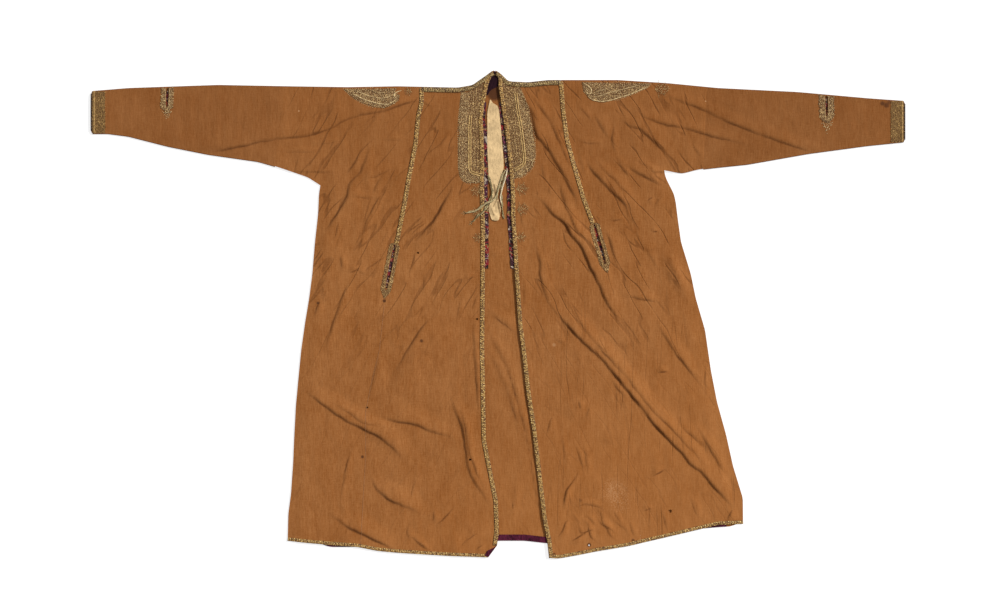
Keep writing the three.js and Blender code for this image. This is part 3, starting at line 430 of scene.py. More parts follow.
def run_down(edge, top, bottom, shift=0.0):
    """The stretch of an edge between two heights, from the top down."""
    inner = edge[(edge[:, 1] < top - 0.5) & (edge[:, 1] > bottom + 0.5)]
    rows = np.vstack([(x_at(edge, top), top), inner, (x_at(edge, bottom), bottom)])
    return rows + (shift, 0.0)


def run_over(edge, start, end, lift=0.0):
    """The stretch of an edge between two x values, in the order start to end."""
    low, high = min(start, end), max(start, end)
    inner = edge[(edge[:, 0] > low + 0.5) & (edge[:, 0] < high - 0.5)]
    rows = np.vstack([(low, y_at(edge, low)), inner, (high, y_at(edge, high))])
    return (rows if start < end else rows[::-1]) + (0.0, lift)


def ring(*runs):
    """Runs of points joined to one closed outline, without doubled points."""
    outline = np.vstack([np.asarray(run, float) for run in runs])
    step = np.linalg.norm(outline - np.roll(outline, 1, axis=0), axis=1)
    return outline[step > 0.2]


def between(first, second, share, top, bottom):
    """The line that divides the space between two edges that run down, by a share of the way across."""
    y = np.arange(top, bottom - 0.1, -6.0)
    return np.column_stack([(1.0 - share) * x_at(first, y) + share * x_at(second, y), y])


def beside(line, distance):
    """A line moved sideways by a distance, to the left of its own direction."""
    line = np.asarray(line, float)
    way = np.gradient(line, axis=0)
    way /= np.linalg.norm(way, axis=1, keepdims=True)
    return line + distance * np.column_stack([-way[:, 1], way[:, 0]])


def around(line, distance, before, after):
    """A closed outline at a distance on each side of a short line, and past its two ends."""
    line = evenly(line, 6.0)
    start = line[0] + (line[0] - line[1]) / np.linalg.norm(line[0] - line[1]) * before
    end = line[-1] + (line[-1] - line[-2]) / np.linalg.norm(line[-1] - line[-2]) * after
    outline = np.vstack([[start], beside(line, distance), [end], beside(line, -distance)[::-1], [start]])
    return soften(outline, 2.0, 5.0)[:-1]


def lens(slit, extra=0.0):
    """The outline of a slit: widest in its middle and nearly closed at its ends."""
    line = evenly(slit.line, 4.0)
    share = np.linspace(0.12, 0.88, len(line))[:, None]
    half = (slit.width + extra) / 2 * np.sin(np.pi * share) * (1.0, 0.0)
    return np.vstack([line - half, (line + half)[::-1]])


def within(outline, x, y):
    """True where a point lies inside a closed outline: a ray from it crosses the outline an odd number of
    times."""
    inside = np.zeros(np.shape(x), bool)
    for (ax, ay), (bx, by) in zip(outline, np.roll(outline, -1, axis=0)):
        if ay != by:
            inside ^= ((ay > y) != (by > y)) & (x < ax + (y - ay) * (bx - ax) / (by - ay))
    return inside


def nearest(line, x, y):
    """Distance from each point to a line of points, the nearest point on it, how far along the line that is,
    and on which side of the line the point lies (+1 left, -1 right)."""
    best = np.full(np.shape(x), np.inf)
    near_x, near_y, along, side = (np.zeros(np.shape(x)) for _ in range(4))
    passed = 0.0
    for (ax, ay), (bx, by) in zip(line[:-1], line[1:]):
        dx, dy = bx - ax, by - ay
        length = np.hypot(dx, dy)
        t = np.clip(((x - ax) * dx + (y - ay) * dy) / max(length * length, 1e-9), 0.0, 1.0)
        px, py = ax + t * dx, ay + t * dy
        distance = np.hypot(x - px, y - py)
        closer = distance < best
        best = np.where(closer, distance, best)
        near_x = np.where(closer, px, near_x)
        near_y = np.where(closer, py, near_y)
        along = np.where(closer, passed + t * length, along)
        side = np.where(closer, np.sign(dx * (y - ay) - dy * (x - ax)), side)
        passed += length
    return best, near_x, near_y, along, side


def below_fold(outline, depth):
    """An outline held at least a depth below the shoulder fold."""
    x, y = np.array(outline, float).T
    return np.column_stack([x, np.minimum(y, y_at(TOP, x) - depth)])


def closed(outline):
    """An outline with its first point repeated at the end."""
    return np.vstack([outline, outline[:1]])


TOP = soften(TOP_EDGE, 4.0, 6.0)
HEM = soften(FRONT_HEM)
HEM_BACK = soften(BACK_HEM)

Half = namedtuple(
    "Half",
    "name side front seam back_seam sleeve_seam under edge plastron boteh pocket wrist gusset neck",
)
HALVES = [
    Half(
        "right", -1, soften(RIGHT_FRONT_EDGE), soften(RIGHT_SEAM), soften(RIGHT_BACK_SEAM),
        soften(RIGHT_SLEEVE_SEAM), soften(RIGHT_UNDERSIDE), soften(RIGHT_SIDE), RIGHT_PLASTRON, RIGHT_BOTEH,
        RIGHT_POCKET, RIGHT_WRIST, RIGHT_GUSSET, NECK_RIGHT,
    ),
    Half(
        "left", 1, soften(LEFT_FRONT_EDGE), soften(LEFT_SEAM), soften(LEFT_BACK_SEAM),
        soften(LEFT_SLEEVE_SEAM), soften(LEFT_UNDERSIDE), soften(LEFT_SIDE), LEFT_PLASTRON, LEFT_BOTEH,
        LEFT_POCKET, LEFT_WRIST, LEFT_GUSSET, NECK_LEFT,
    ),
]
RIGHT, LEFT = HALVES


# ---------------------------------------------------------------- heights
def drift(x, y, size_x, size_y, seed):
    """Soft noise between -1 and 1: random values on a lattice of the two sizes, with smooth steps between."""
    values = np.random.default_rng(seed).uniform(-1.0, 1.0, (128, 128))
    u, v = np.asarray(x) / size_x + 57.3, np.asarray(y) / size_y + 41.7
    i, j = np.floor(u).astype(int), np.floor(v).astype(int)
    s, t = smooth(u - i), smooth(v - j)
    low = values[j % 128, i % 128] * (1 - s) + values[j % 128, (i + 1) % 128] * s
    high = values[(j + 1) % 128, i % 128] * (1 - s) + values[(j + 1) % 128, (i + 1) % 128] * s
    return low * (1 - t) + high * t


FOLD_SHADE_WIDTH = 2.4  # width of the painted shade along the folds of shoulder and sleeves
RUN_OUT = 85.0  # the longest taper at each end of a crease
UNDER_EASE = 26.0  # width over which the relief grows from the underside of the sleeves
TOP_EASE = 34.0  # and from the shoulder fold
SEAM_DIP = 0.25  # depth of the dip along a seam
SEAM_DIP_WIDTH = 3.5  # and how far it reaches on each side
SHADE_REACH = 1.95  # how far from a crease's line its painted shade fades out, as a share of the foot's width
LIT_SIDE = (1.0, 0.55)  # the creases' soft sides look this way in plan


def one_crease(crease, x, y):
    """Height and painted shade of one crease.  The height is a smooth step up over its foot and crest, times
    a smooth step down over its fall, both by the distance s from its line, and times a taper at its two ends;
    the painted shade is a tent over s along the foot."""
    kind = crease.kind
    line = soften(crease.line, 5.0, 12.0)
    reach = kind.crest + kind.fall
    low, high = line.min(axis=0) - reach, line.max(axis=0) + reach
    near = (x > low[0]) & (x < high[0]) & (y > low[1]) & (y < high[1])
    height, soil = np.zeros(x.shape), np.zeros(x.shape)
    if not near.any():
        return height, soil
    px, py = x[near], y[near]
    distance, _, _, along, side = nearest(line, px, py)
    dx, dy = line[-1] - line[0]
    facing = 1.0 if -dy * LIT_SIDE[0] + dx * LIT_SIDE[1] > 0 else -1.0
    s = distance * side * facing + 1.1 * drift(px, py, 11.0, 15.0, 12)
    length = np.linalg.norm(np.diff(line, axis=0), axis=1).sum()
    taper = smooth(np.minimum(along, length - along) / min(0.48 * length, RUN_OUT))
    uneven = 1.0 + 0.30 * drift(along, 0 * along, 30.0, 1.0, int(abs(line[0, 0])) + 3)
    width = 0.45 + 0.55 * taper
    rise = smooth((s + kind.foot * width) / ((kind.foot + kind.crest) * width))
    fall = 1.0 - smooth((s - kind.crest * width) / (kind.fall * width))
    height[near] = kind.height * crease.strength * taper * uneven * rise * fall
    tent = np.clip(1.0 - np.abs(s + 0.5 * kind.foot * width) / (SHADE_REACH * kind.foot), 0.0, 1.0)
    soil[near] = kind.soil * min(1.2, 0.55 + 0.45 * crease.strength) * np.sqrt(taper) * uneven * tent
    return height, soil


def crease_field(creases, x, y):
    """All creases together: their height, bent over softly so that none stands above the limit, and the
    most painted shade that any one of them gives."""
    height, soil = np.zeros(np.shape(x)), np.zeros(np.shape(x))
    for crease in creases:
        rise, dark = one_crease(crease, x, y)
        height, soil = height + rise, np.maximum(soil, dark)
    return RELIEF_LIMIT * np.tanh(height / RELIEF_LIMIT), soil


def creased(creases, x, y):
    """The height of creases alone."""
    return crease_field(creases, x, y)[0]


def side_ease(x, y):
    """0 at the open sides of the body and 1 past the width over which the cloth comes down to them."""
    inward = np.minimum(x - x_at(RIGHT.edge, y), x_at(LEFT.edge, y) - x)
    return np.where(y > 322, 1.0, smooth(inward / EDGE_EASE))


def under_fade(x, y):
    """0 at the underside of the sleeves and 1 past its ease, and 1 on the body below them."""
    fade = np.ones(np.shape(x))
    for half, start in ((RIGHT, 440.0), (LEFT, 420.0)):
        inside = y - y_at(half.under, x)
        fade = np.where((half.side * x > start) & (inside > -6.0), smooth(inside / UNDER_EASE), fade)
    return fade


def skin(x, y):
    """Top of the upper cloth: the flat level, the creases and a faint unevenness, all eased down to the
    side seams, a slight dip along the seams, and a quarter circle down to the shoulder fold."""
    x, y = np.asarray(x, float), np.asarray(y, float)
    from_fold = y_at(TOP, x) - y
    relief = creased(RIGHT_CREASES + LEFT_CREASES, x, y)
    relief = relief + 0.55 * drift(x + y, y - x, 52.0, 90.0, 5) + 0.55
    relief = relief + 0.30 * drift(x, y, 15.0, 95.0, 6) + 0.16 * drift(x, y, 11.0, 24.0, 8)
    relief = np.maximum(relief, 0.0) * smooth((from_fold - 6.0) / TOP_EASE) * under_fade(x, y)
    level = EDGE_BASE + (BASE + relief - EDGE_BASE) * side_ease(x, y)
    dip = np.zeros(x.shape)
    for half in HALVES:
        dip = dip + (1.0 - smooth(np.abs(x - x_at(half.seam, y)) / SEAM_DIP_WIDTH))
        at_seam = 1.0 - smooth(np.abs(x - x_at(half.sleeve_seam, y)) / SEAM_DIP_WIDTH)
        dip = dip + (y > 300) * at_seam
    round_off = np.clip(1.0 - from_fold / FOLD_RADIUS, 0.0, 1.0)
    return level + CLOTH - SEAM_DIP * dip - FOLD_RADIUS * (1.0 - np.sqrt(1.0 - round_off**2))


def resting(x, y):
    """Underside of the lower cloth: flat on the surface, lifted a little in soft troughs like the creases of
    the upper side, and more between the two fronts, where nothing lies on it."""
    x, y = np.asarray(x, float), np.asarray(y, float)
    mirrored = creased(RIGHT_CREASES + LEFT_CREASES, -0.94 * x + 8.0, 0.97 * y - 14.0)
    covered = np.where(y > 60.0, smooth((np.abs(x + 4.0) - 70.0) / 30.0), 1.0)
    for slit in (RIGHT_POCKET, LEFT_POCKET):
        middle = np.mean(slit.line, axis=0)
        covered = covered * smooth((np.hypot(x - middle[0], y - middle[1]) - 85.0) / 30.0)
    ease = smooth((y_at(TOP, x) - y - 12.0) / 30.0) * side_ease(x, y) * under_fade(x, y)
    above_hem = smooth((y - y_at(HEM_BACK, x) - 16.0) / 30.0)
    hidden = 1.1 * np.tanh(mirrored / 4.0) * covered * ease * above_hem
    inward = np.minimum(x - x_at(RIGHT.front, y), x_at(LEFT.front, y) - x)
    open_strip = smooth((inward - 2.0) / 9.0) * np.where(y < 330, 1.0, 0.0)
    shown = creased(BACK_CREASES, x, y)
    return np.maximum(hidden, np.minimum(shown, 0.9 + 2.6 * open_strip) * ease * above_hem)


# ---------------------------------------------------------------- surfaces
Surface = namedtuple("Surface", "points faces uv")


CORNER_BEND = 0.6  # an outline that turns by more radians has a corner, which the grid keeps


def grid_plan(outline, cuts, cell):
    """Square cells over a plan outline: those whose centre is inside it and outside the cuts are kept, each
    corner on the rim of what is kept moves to the nearest point of the outline or a cut, and the points next
    to the rim to the mean of their neighbours.  Returns the plan points and the faces."""
    low = outline.min(axis=0) - 1.5 * cell
    high = outline.max(axis=0) + 1.5 * cell
    gx, gy = np.meshgrid(np.arange(low[0], high[0], cell), np.arange(low[1], high[1], cell))
    middle_x, middle_y = gx[:-1, :-1] + cell / 2, gy[:-1, :-1] + cell / 2
    kept = within(outline, middle_x, middle_y)
    for cut in cuts:
        kept &= ~within(cut, middle_x, middle_y)
    uses = np.zeros(gx.shape, int)
    for j in (0, 1):
        for i in (0, 1):
            uses[j : j + kept.shape[0], i : i + kept.shape[1]] += kept
    rim = (uses > 0) & (uses < 4)
    rx, ry = gx[rim], gy[rim]
    best = np.full(rx.shape, np.inf)
    to_x, to_y = rx.copy(), ry.copy()
    for edge in (outline, *cuts):
        distance, near_x, near_y, _, _ = nearest(closed(edge), rx, ry)
        closer = distance < best
        best = np.where(closer, distance, best)
        to_x = np.where(closer, near_x, to_x)
        to_y = np.where(closer, near_y, to_y)
    turn_in = outline - np.roll(outline, 1, axis=0)
    turn_out = np.roll(outline, -1, axis=0) - outline
    bend = np.abs(np.arctan2(np.cross(turn_in, turn_out), (turn_in * turn_out).sum(axis=1)))
    for cx, cy in outline[bend > CORNER_BEND]:
        spot = np.argmin(np.hypot(to_x - cx, to_y - cy))
        to_x[spot], to_y[spot] = cx, cy
    gx[rim], gy[rim] = to_x, to_y
    beside_rim = np.zeros(rim.shape, bool)
    for axis in (0, 1):
        for way in (-2, -1, 1, 2):
            beside_rim |= np.roll(rim, way, axis=axis)
    beside_rim &= uses == 4
    for _ in range(4):
        for g in (gx, gy):
            mean = sum(np.roll(g, way, axis=axis) for axis in (0, 1) for way in (-1, 1)) / 4.0
            g[beside_rim] = mean[beside_rim]
    number = np.cumsum((uses > 0).ravel()).reshape(uses.shape) - 1
    j, i = np.nonzero(kept)
    faces = np.column_stack([number[j, i], number[j, i + 1], number[j + 1, i + 1], number[j + 1, i]])
    return np.column_stack([gx[uses > 0], gy[uses > 0]]), faces


def cloth(outline, height, cell, cuts=(), face_down=False):
    """A sheet on a plan grid at the height that the function gives; face_down turns its faces over."""
    plan, faces = grid_plan(np.asarray(outline, float), [np.asarray(c, float) for c in cuts], cell)
    points = np.column_stack([plan, height(plan[:, 0], plan[:, 1])])
    return Surface(points, faces[:, ::-1] if face_down else faces, plan * MM)


PLAIT = 5.2  # length of one plait of the braid
PLAIT_SLANT = 0.55  # how far a plait runs on from the middle of the braid to its edge, in plaits
RIBBON_SINK = 0.35  # how far a strip's underside goes into what it lies on
STITCH_SINK = 0.3  # and a stitch's


def ribbon(path, width, lift, height=skin, step=2.6, columns=7, plait=0.0, fade=0.0):
    """A domed strip carried along a path: its top is the height of what it lies on plus lift times a flat
    dome across it, with a herringbone of plaits by the distance along and across; its underside is sunk a
    little below.  fade tapers its width at both ends."""
    line = soften(path, step, 4.0)
    along = np.r_[0.0, np.cumsum(np.linalg.norm(np.diff(line, axis=0), axis=1))]
    way = np.gradient(line, axis=0)
    way /= np.linalg.norm(way, axis=1, keepdims=True)
    across = np.linspace(-1.0, 1.0, columns)
    half = width / 2 * np.ones(len(line))
    if fade:
        half = half * (0.3 + 0.7 * smooth(np.minimum(along, along[-1] - along) / fade))
    x = line[:, :1] - way[:, 1:] * half[:, None] * across
    y = line[:, 1:2] + way[:, :1] * half[:, None] * across
    y = np.minimum(y, y_at(TOP, x) - 0.4)
    ground = height(x, y)
    dome = 0.35 + 0.65 * np.sqrt(1.0 - 0.85 * across**2)
    wave = np.cos(2 * np.pi * (along[:, None] / PLAIT + PLAIT_SLANT * np.abs(across)))
    top = np.stack([x, y, ground + lift * dome + plait * wave], axis=2)
    low = np.stack([x, y, ground - RIBBON_SINK], axis=2)
    rows, loop = len(line), 2 * columns
    points = np.concatenate([top, low[:, ::-1]], axis=1).reshape(-1, 3)
    j, i = np.meshgrid(np.arange(rows - 1), np.arange(loop), indexing="ij")
    k = (i + 1) % loop
    body = np.stack([j * loop + i, j * loop + k, (j + 1) * loop + k, (j + 1) * loop + i], axis=2)
    c = np.arange(columns - 1)
    first = np.column_stack([c, loop - 1 - c, loop - 2 - c, c + 1])
    last = (first + (rows - 1) * loop)[:, ::-1]
    faces = np.vstack([body.reshape(-1, 4)[:, ::-1], first[:, ::-1], last[:, ::-1]])
    v = np.concatenate([across, across[::-1]]) * half.mean()
    uv = np.stack(np.broadcast_arrays(along[:, None], v[None, :]), axis=2).reshape(-1, 2) * MM
    return Surface(points, faces, uv)


def scatter(outline, spacing, seed, cuts=()):
    """Places inside an outline: a lattice of offset rows, each moved by up to a third of the spacing."""
    low, high = outline.min(axis=0), outline.max(axis=0)
    x, y = np.meshgrid(np.arange(low[0], high[0], spacing), np.arange(low[1], high[1], spacing * 0.87))
    x = x + np.where(np.arange(len(x)) % 2, spacing / 2, 0.0)[:, None]
    moved = np.random.default_rng(seed).uniform(-0.36, 0.36, (2, *x.shape)) * spacing
    x, y = (x + moved[0]).ravel(), (y + moved[1]).ravel()
    inside = within(outline, x, y)
    for cut in cuts:
        inside &= ~within(cut, x, y)
    return x[inside], y[inside]


def stitches(x, y, turn, length, width, lift):
    """Short raised stitches: each a closed pillow on an ellipse of eight points, turned in plan, with its
    crown at lift over the cloth and its underside sunk a little."""
    u = np.array([-0.72, 0.0, 0.72, -1.0, 0.0, 1.0, -0.72, 0.0, 0.72, 0.0])
    v = np.array([-0.72, -1.0, -0.72, 0.0, 0.0, 0.0, 0.72, 1.0, 0.72, 0.0])
    rise = np.array([0.25, 0.4, 0.25, 0.4, 1.0, 0.4, 0.25, 0.4, 0.25, 0.0])
    cos, sin = np.cos(turn)[:, None], np.sin(turn)[:, None]
    half_u, half_v = np.multiply.outer(length / 2 * np.ones(len(x)), u), width / 2 * v
    px = x[:, None] + half_u * cos - half_v * sin
    py = y[:, None] + half_u * sin + half_v * cos
    ground = skin(x, y)[:, None]
    pz = ground + np.multiply.outer(lift * np.ones(len(x)), rise) - STITCH_SINK * (rise == 0.0)
    one = np.array([
        (0, 1, 4, 3), (1, 2, 5, 4), (3, 4, 7, 6), (4, 5, 8, 7), (0, 3, 9, 1), (1, 9, 5, 2), (3, 6, 7, 9),
        (9, 7, 8, 5),
    ])
    faces = (one[None] + 10 * np.arange(len(x))[:, None, None]).reshape(-1, 4)
    points = np.stack([px, py, pz], axis=2).reshape(-1, 3)
    return Surface(points, faces, points[:, :2] * MM)


def fold_strip(edge, side):
    """The cloth around a fold: half a circle of the fold's radius carried along the edge, run on for 2 mm
    into the upper and the lower cloth.  side is +1 at the shoulder and -1 at a sleeve's underside."""
    turn = np.linspace(-np.pi / 2, np.pi / 2, 9)
    reach = np.r_[-2.0, FOLD_RADIUS * np.cos(turn), -2.0]
    rise = np.r_[0.1, FOLD_RADIUS + FOLD_RADIUS * np.sin(turn), 2 * FOLD_RADIUS - 0.12]
    line = evenly(edge, 5.0)
    x = np.repeat(line[:, :1], len(reach), axis=1)
    y = line[:, 1:2] + side * (reach - FOLD_RADIUS)
    z = np.repeat(rise[None, :], len(line), axis=0)
    rows, cols = x.shape
    j, i = np.meshgrid(np.arange(rows - 1), np.arange(cols - 1), indexing="ij")
    at = j * cols + i
    faces = np.stack([at, at + 1, at + cols + 1, at + cols], axis=2).reshape(-1, 4)
    if side * (line[-1, 0] - line[0, 0]) < 0:
        faces = faces[:, ::-1]
    points = np.stack([x, y, z], axis=2).reshape(-1, 3)
    return Surface(points, faces, points[:, :2] * MM)


def build(node, surfaces, material, slot, wall=0.0, added=False):
    """One mesh piece from surfaces, which stands for a CAD node unless it is added to it, with the surfaces'
    UV map named cut.  wall gives sheets their thickness inward, and the rims of sheets stay crisp."""
    name = f"sewn_{node}"
    start = np.cumsum([0] + [len(s.points) for s in surfaces])
    points = np.vstack([s.points for s in surfaces]) * MM
    faces = np.vstack([s.faces + first for s, first in zip(surfaces, start)])
    uv = np.vstack([s.uv for s in surfaces])
    mesh = bpy.data.meshes.new(name)
    mesh.vertices.add(len(points))
    mesh.vertices.foreach_set("co", points.astype(np.float32).ravel())
    mesh.loops.add(faces.size)
    mesh.loops.foreach_set("vertex_index", faces.astype(np.int32).ravel())
    mesh.polygons.add(len(faces))
    mesh.polygons.foreach_set("loop_start", np.arange(0, faces.size, 4, dtype=np.int32))
    mesh.polygons.foreach_set("use_smooth", np.ones(len(faces), bool))
    mesh.update(calc_edges=True)
    edge_of = np.zeros(faces.size, np.int32)
    mesh.loops.foreach_get("edge_index", edge_of)
    open_edge = np.bincount(edge_of, minlength=len(mesh.edges)) == 1
    mesh.attributes.new("sharp_edge", "BOOLEAN", "EDGE").data.foreach_set("value", open_edge)
    mesh.uv_layers.new(name="cut").data.foreach_set("uv", uv[faces.ravel()].astype(np.float32).ravel())
    # cotton gets an attribute of painted shade: along the feet of the creases, and as a thin line along the
    # shoulder fold and the sleeves' undersides, where the cloth turns under
    if slot == "cotton":
        x, y = points[:, 0] / MM, points[:, 1] / MM
        _, soil = crease_field(RIGHT_CREASES + LEFT_CREASES + BACK_CREASES, x, y)
        soil = np.maximum(soil, 0.9 * np.exp(-(((y_at(TOP, x) - y) / FOLD_SHADE_WIDTH) ** 2)))
        for half in HALVES:
            under = np.exp(-(((y - y_at(half.under, x)) / FOLD_SHADE_WIDTH) ** 2))
            soil = np.maximum(soil, 0.8 * under * (half.side * x > 400.0))
        mesh.attributes.new("soil", "FLOAT", "POINT").data.foreach_set("value", soil.astype(np.float32))
    mesh.validate()
    mesh.materials.append(material)
    piece = bpy.data.objects.new(name, mesh)
    bpy.context.scene.collection.objects.link(piece)
    if wall:
        shell = piece.modifiers.new("wall", "SOLIDIFY")
        shell.thickness = wall * MM
        shell.offset = -1.0
    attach(piece, "root")
    if not added:
        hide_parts(node)


# ---------------------------------------------------------------- finishes
class Value:
    """A shader socket in an expression: each operator on it adds one Math node."""

    def __init__(self, finish, socket):
        self.finish = finish
        self.socket = socket

    def maths(self, operation, first, second=0.0):
        """The result of one Math node."""
        return self.finish.node("ShaderNodeMath", {"operation": operation}, {0: first, 1: second})

    def __add__(self, other):
        return self.maths("ADD", self, other)

    def __sub__(self, other):
        return self.maths("SUBTRACT", self, other)

    def __rsub__(self, other):
        return self.maths("SUBTRACT", other, self)

    def __mul__(self, other):
        return self.maths("MULTIPLY", self, other)

    def __truediv__(self, other):
        return self.maths("DIVIDE", self, other)

    def __pow__(self, other):
        return self.maths("POWER", self, other)

    __radd__ = __add__
    __rmul__ = __mul__

    def sine(self):
        return self.maths("SINE", self)

    def size(self):
        return self.maths("ABSOLUTE", self)

    def over(self, floor):
        return self.maths("MAXIMUM", self, floor)

    def under(self, ceiling):
        return self.maths("MINIMUM", self, ceiling)


FLAT = (1.0, 1.0, 0.0)  # stretches noise so that it depends on the plan alone
SOLID = (1.0, 1.0, 1.0)  # and so that it also changes with height


class Finish:
    """A material being made: node() adds a node, and shade() joins the last ones to its surface."""

    def __init__(self, name):
        self.material = bpy.data.materials.new(name)
        self.material.use_nodes = True
        self.tree = self.material.node_tree
        self.tree.nodes.clear()
        self.place = Value(self, self.tree.nodes.new("ShaderNodeTexCoord").outputs["Object"])

    def node(self, kind, settings=None, values=None, output=0):
        """Adds a node of a kind with its settings, sets or links its sockets, and returns an output."""
        made = self.tree.nodes.new(kind)
        for key, setting in (settings or {}).items():
            if key == "steps":
                made.color_ramp.interpolation = "CONSTANT"
                self.stops(made.color_ramp, setting)
            else:
                setattr(made, key, setting)
        for key, value in (values or {}).items():
            if isinstance(value, Value):
                self.tree.links.new(value.socket, made.inputs[key])
            else:
                made.inputs[key].default_value = value
        return Value(self, made.outputs[output])

    @staticmethod
    def stops(ramp, stops):
        """Sets a ramp's stops, rows of place and colour."""
        while len(ramp.elements) < len(stops):
            ramp.elements.new(1.0)
        for element, (place, colour) in zip(ramp.elements, stops):
            element.position = place
            element.color = (*colour, 1.0)

    def noise(self, scale, detail=2.0, vector=None, stretch=FLAT, roughness=0.5):
        """Noise between 0 and 1, its vector stretched first."""
        mapped = self.node(
            "ShaderNodeMapping", None, {"Vector": vector or self.place, "Scale": stretch}
        )
        return self.node(
            "ShaderNodeTexNoise",
            None,
            {"Vector": mapped, "Scale": scale, "Detail": detail, "Roughness": roughness},
            "Fac",
        )

    def mix(self, share, first, second):
        """From one colour to another by a share between 0 and 1."""
        return self.node(
            "ShaderNodeMix",
            {"data_type": "RGBA", "clamp_factor": True},
            {0: share, 6: first, 7: second},
            2,
        )

    def part(self, vector, axis):
        """One component of a vector."""
        return self.node("ShaderNodeSeparateXYZ", None, {0: vector}, axis)

    def plan(self):
        """X and Y of the place on the cloth."""
        return self.part(self.place, "X"), self.part(self.place, "Y")

    def ramp(self, share, low, high):
        """0 below low, 1 above high and a smooth step between."""
        return self.node(
            "ShaderNodeMapRange",
            {"interpolation_type": "SMOOTHSTEP"},
            {"Value": share, "From Min": low, "From Max": high},
        )

    def spot(self, x, y, radius, soft):
        """1 inside a round spot of the plan, falling to 0 over soft; lengths in mm."""
        flat = self.node(
            "ShaderNodeVectorMath", {"operation": "MULTIPLY"}, {0: self.place, 1: (1.0, 1.0, 0.0)}
        )
        distance = self.node(
            "ShaderNodeVectorMath", {"operation": "DISTANCE"}, {0: flat, 1: (x * MM, y * MM, 0.0)}, 1
        )
        return 1.0 - self.ramp(distance, radius * MM, (radius + soft) * MM)

    def streak(self, start, end, radius, soft):
        """1 along a straight line of the plan, falling to 0 over soft beside it; lengths in mm."""
        (ax, ay), (bx, by) = np.array(start) * MM, np.array(end) * MM
        dx, dy = bx - ax, by - ay
        span = dx**2 + dy**2
        x, y = self.plan()
        x, y = x - ax, y - ay
        share = (x * (dx / span) + y * (dy / span)).over(0.0).under(1.0)
        off_x, off_y = x - share * dx, y - share * dy
        return 1.0 - self.ramp((off_x * off_x + off_y * off_y) ** 0.5, radius * MM, (radius + soft) * MM)

    def shade(
        self, colour, roughness, height=None, strength=1.0, metallic=0.0, sheen=0.0, gloss=0.5, glow=0.0
    ):
        """Joins colour, roughness and a bump of a height in metres to the surface."""
        values = {"Base Color": colour, "Roughness": roughness, "Metallic": metallic}
        values.update({"Sheen Weight": sheen, "Specular IOR Level": gloss})
        if glow:
            values.update({"Emission Color": (1.0, 1.0, 1.0, 1.0), "Emission Strength": glow})
        if height is not None:
            values["Normal"] = self.node(
                "ShaderNodeBump", None, {"Height": height, "Strength": strength, "Distance": 1.0}
            )
        surface = self.node("ShaderNodeBsdfPrincipled", None, values)
        output = self.tree.nodes.new("ShaderNodeOutputMaterial")
        self.tree.links.new(surface.socket, output.inputs["Surface"])
        return self.material


def linear(red, green, blue):
    """A colour from its 0 to 255 display values to the shader's linear ones."""
    share = np.array([red, green, blue]) / 255.0
    made = np.where(share <= 0.04045, share / 12.92, ((share + 0.055) / 1.055) ** 2.4)
    return tuple(float(c) for c in made)


def tinted(colour, factor):
    """A colour times a factor, with no part over 1."""
    return (*(min(1.0, c * factor) for c in colour[:3]), 1.0)


def deepened(colour, factor):
    """A darker colour that keeps more of its red than of its blue, as shaded cotton does."""
    red, green, blue = colour[:3]
    return red * factor, green * factor**1.2, blue * factor**1.4, 1.0


def dusted(colour, step):
    """A colour moved by the same display step in red, green and blue, as dusty and bare threads are."""
    shown = 255.0 * (1.055 * np.array(colour[:3]) ** (1 / 2.4) - 0.055)
    return (*linear(*np.clip(shown + step, 0.0, 255.0)), 1.0)


def fine_wrinkles(finish):
    """Thin lines in patches, where a noise, stretched along them, passes its middle value: above the waist
    they run down and outward on both halves of the body, and below it straight down on the left one."""
    side, y = finish.plan()
    x = side.size()
    across, along = x * 0.83 + y * 0.56, x * 0.56 - y * 0.83
    slant = finish.node("ShaderNodeCombineXYZ", None, {0: across, 1: along * 0.2})
    folds = finish.noise(27.0, 2.0, vector=slant, roughness=0.4)
    line = 1.0 - finish.ramp((folds - 0.5).size(), 0.004, 0.026)
    patches = finish.ramp(finish.noise(11.0, 2.0, stretch=(1.0, 0.8, 0.0)), 0.43, 0.57)
    upright = finish.noise(38.0, 2.0, stretch=(1.0, 0.06, 0.0), roughness=0.4)
    thin = 1.0 - finish.ramp((upright - 0.52).size(), 0.003, 0.020)
    sparse = finish.ramp(finish.noise(9.0, 2.0, stretch=(1.0, 0.7, 0.0)), 0.50, 0.62)
    below = 1.0 - finish.ramp(y, -0.16, 0.10)
    one_half = finish.ramp(side, 0.06, 0.16)
    line = line * patches * finish.ramp(x, 0.035, 0.06) * (1.0 - below * 0.75)
    return line + thin * sparse * one_half * (0.15 + below * 0.4)


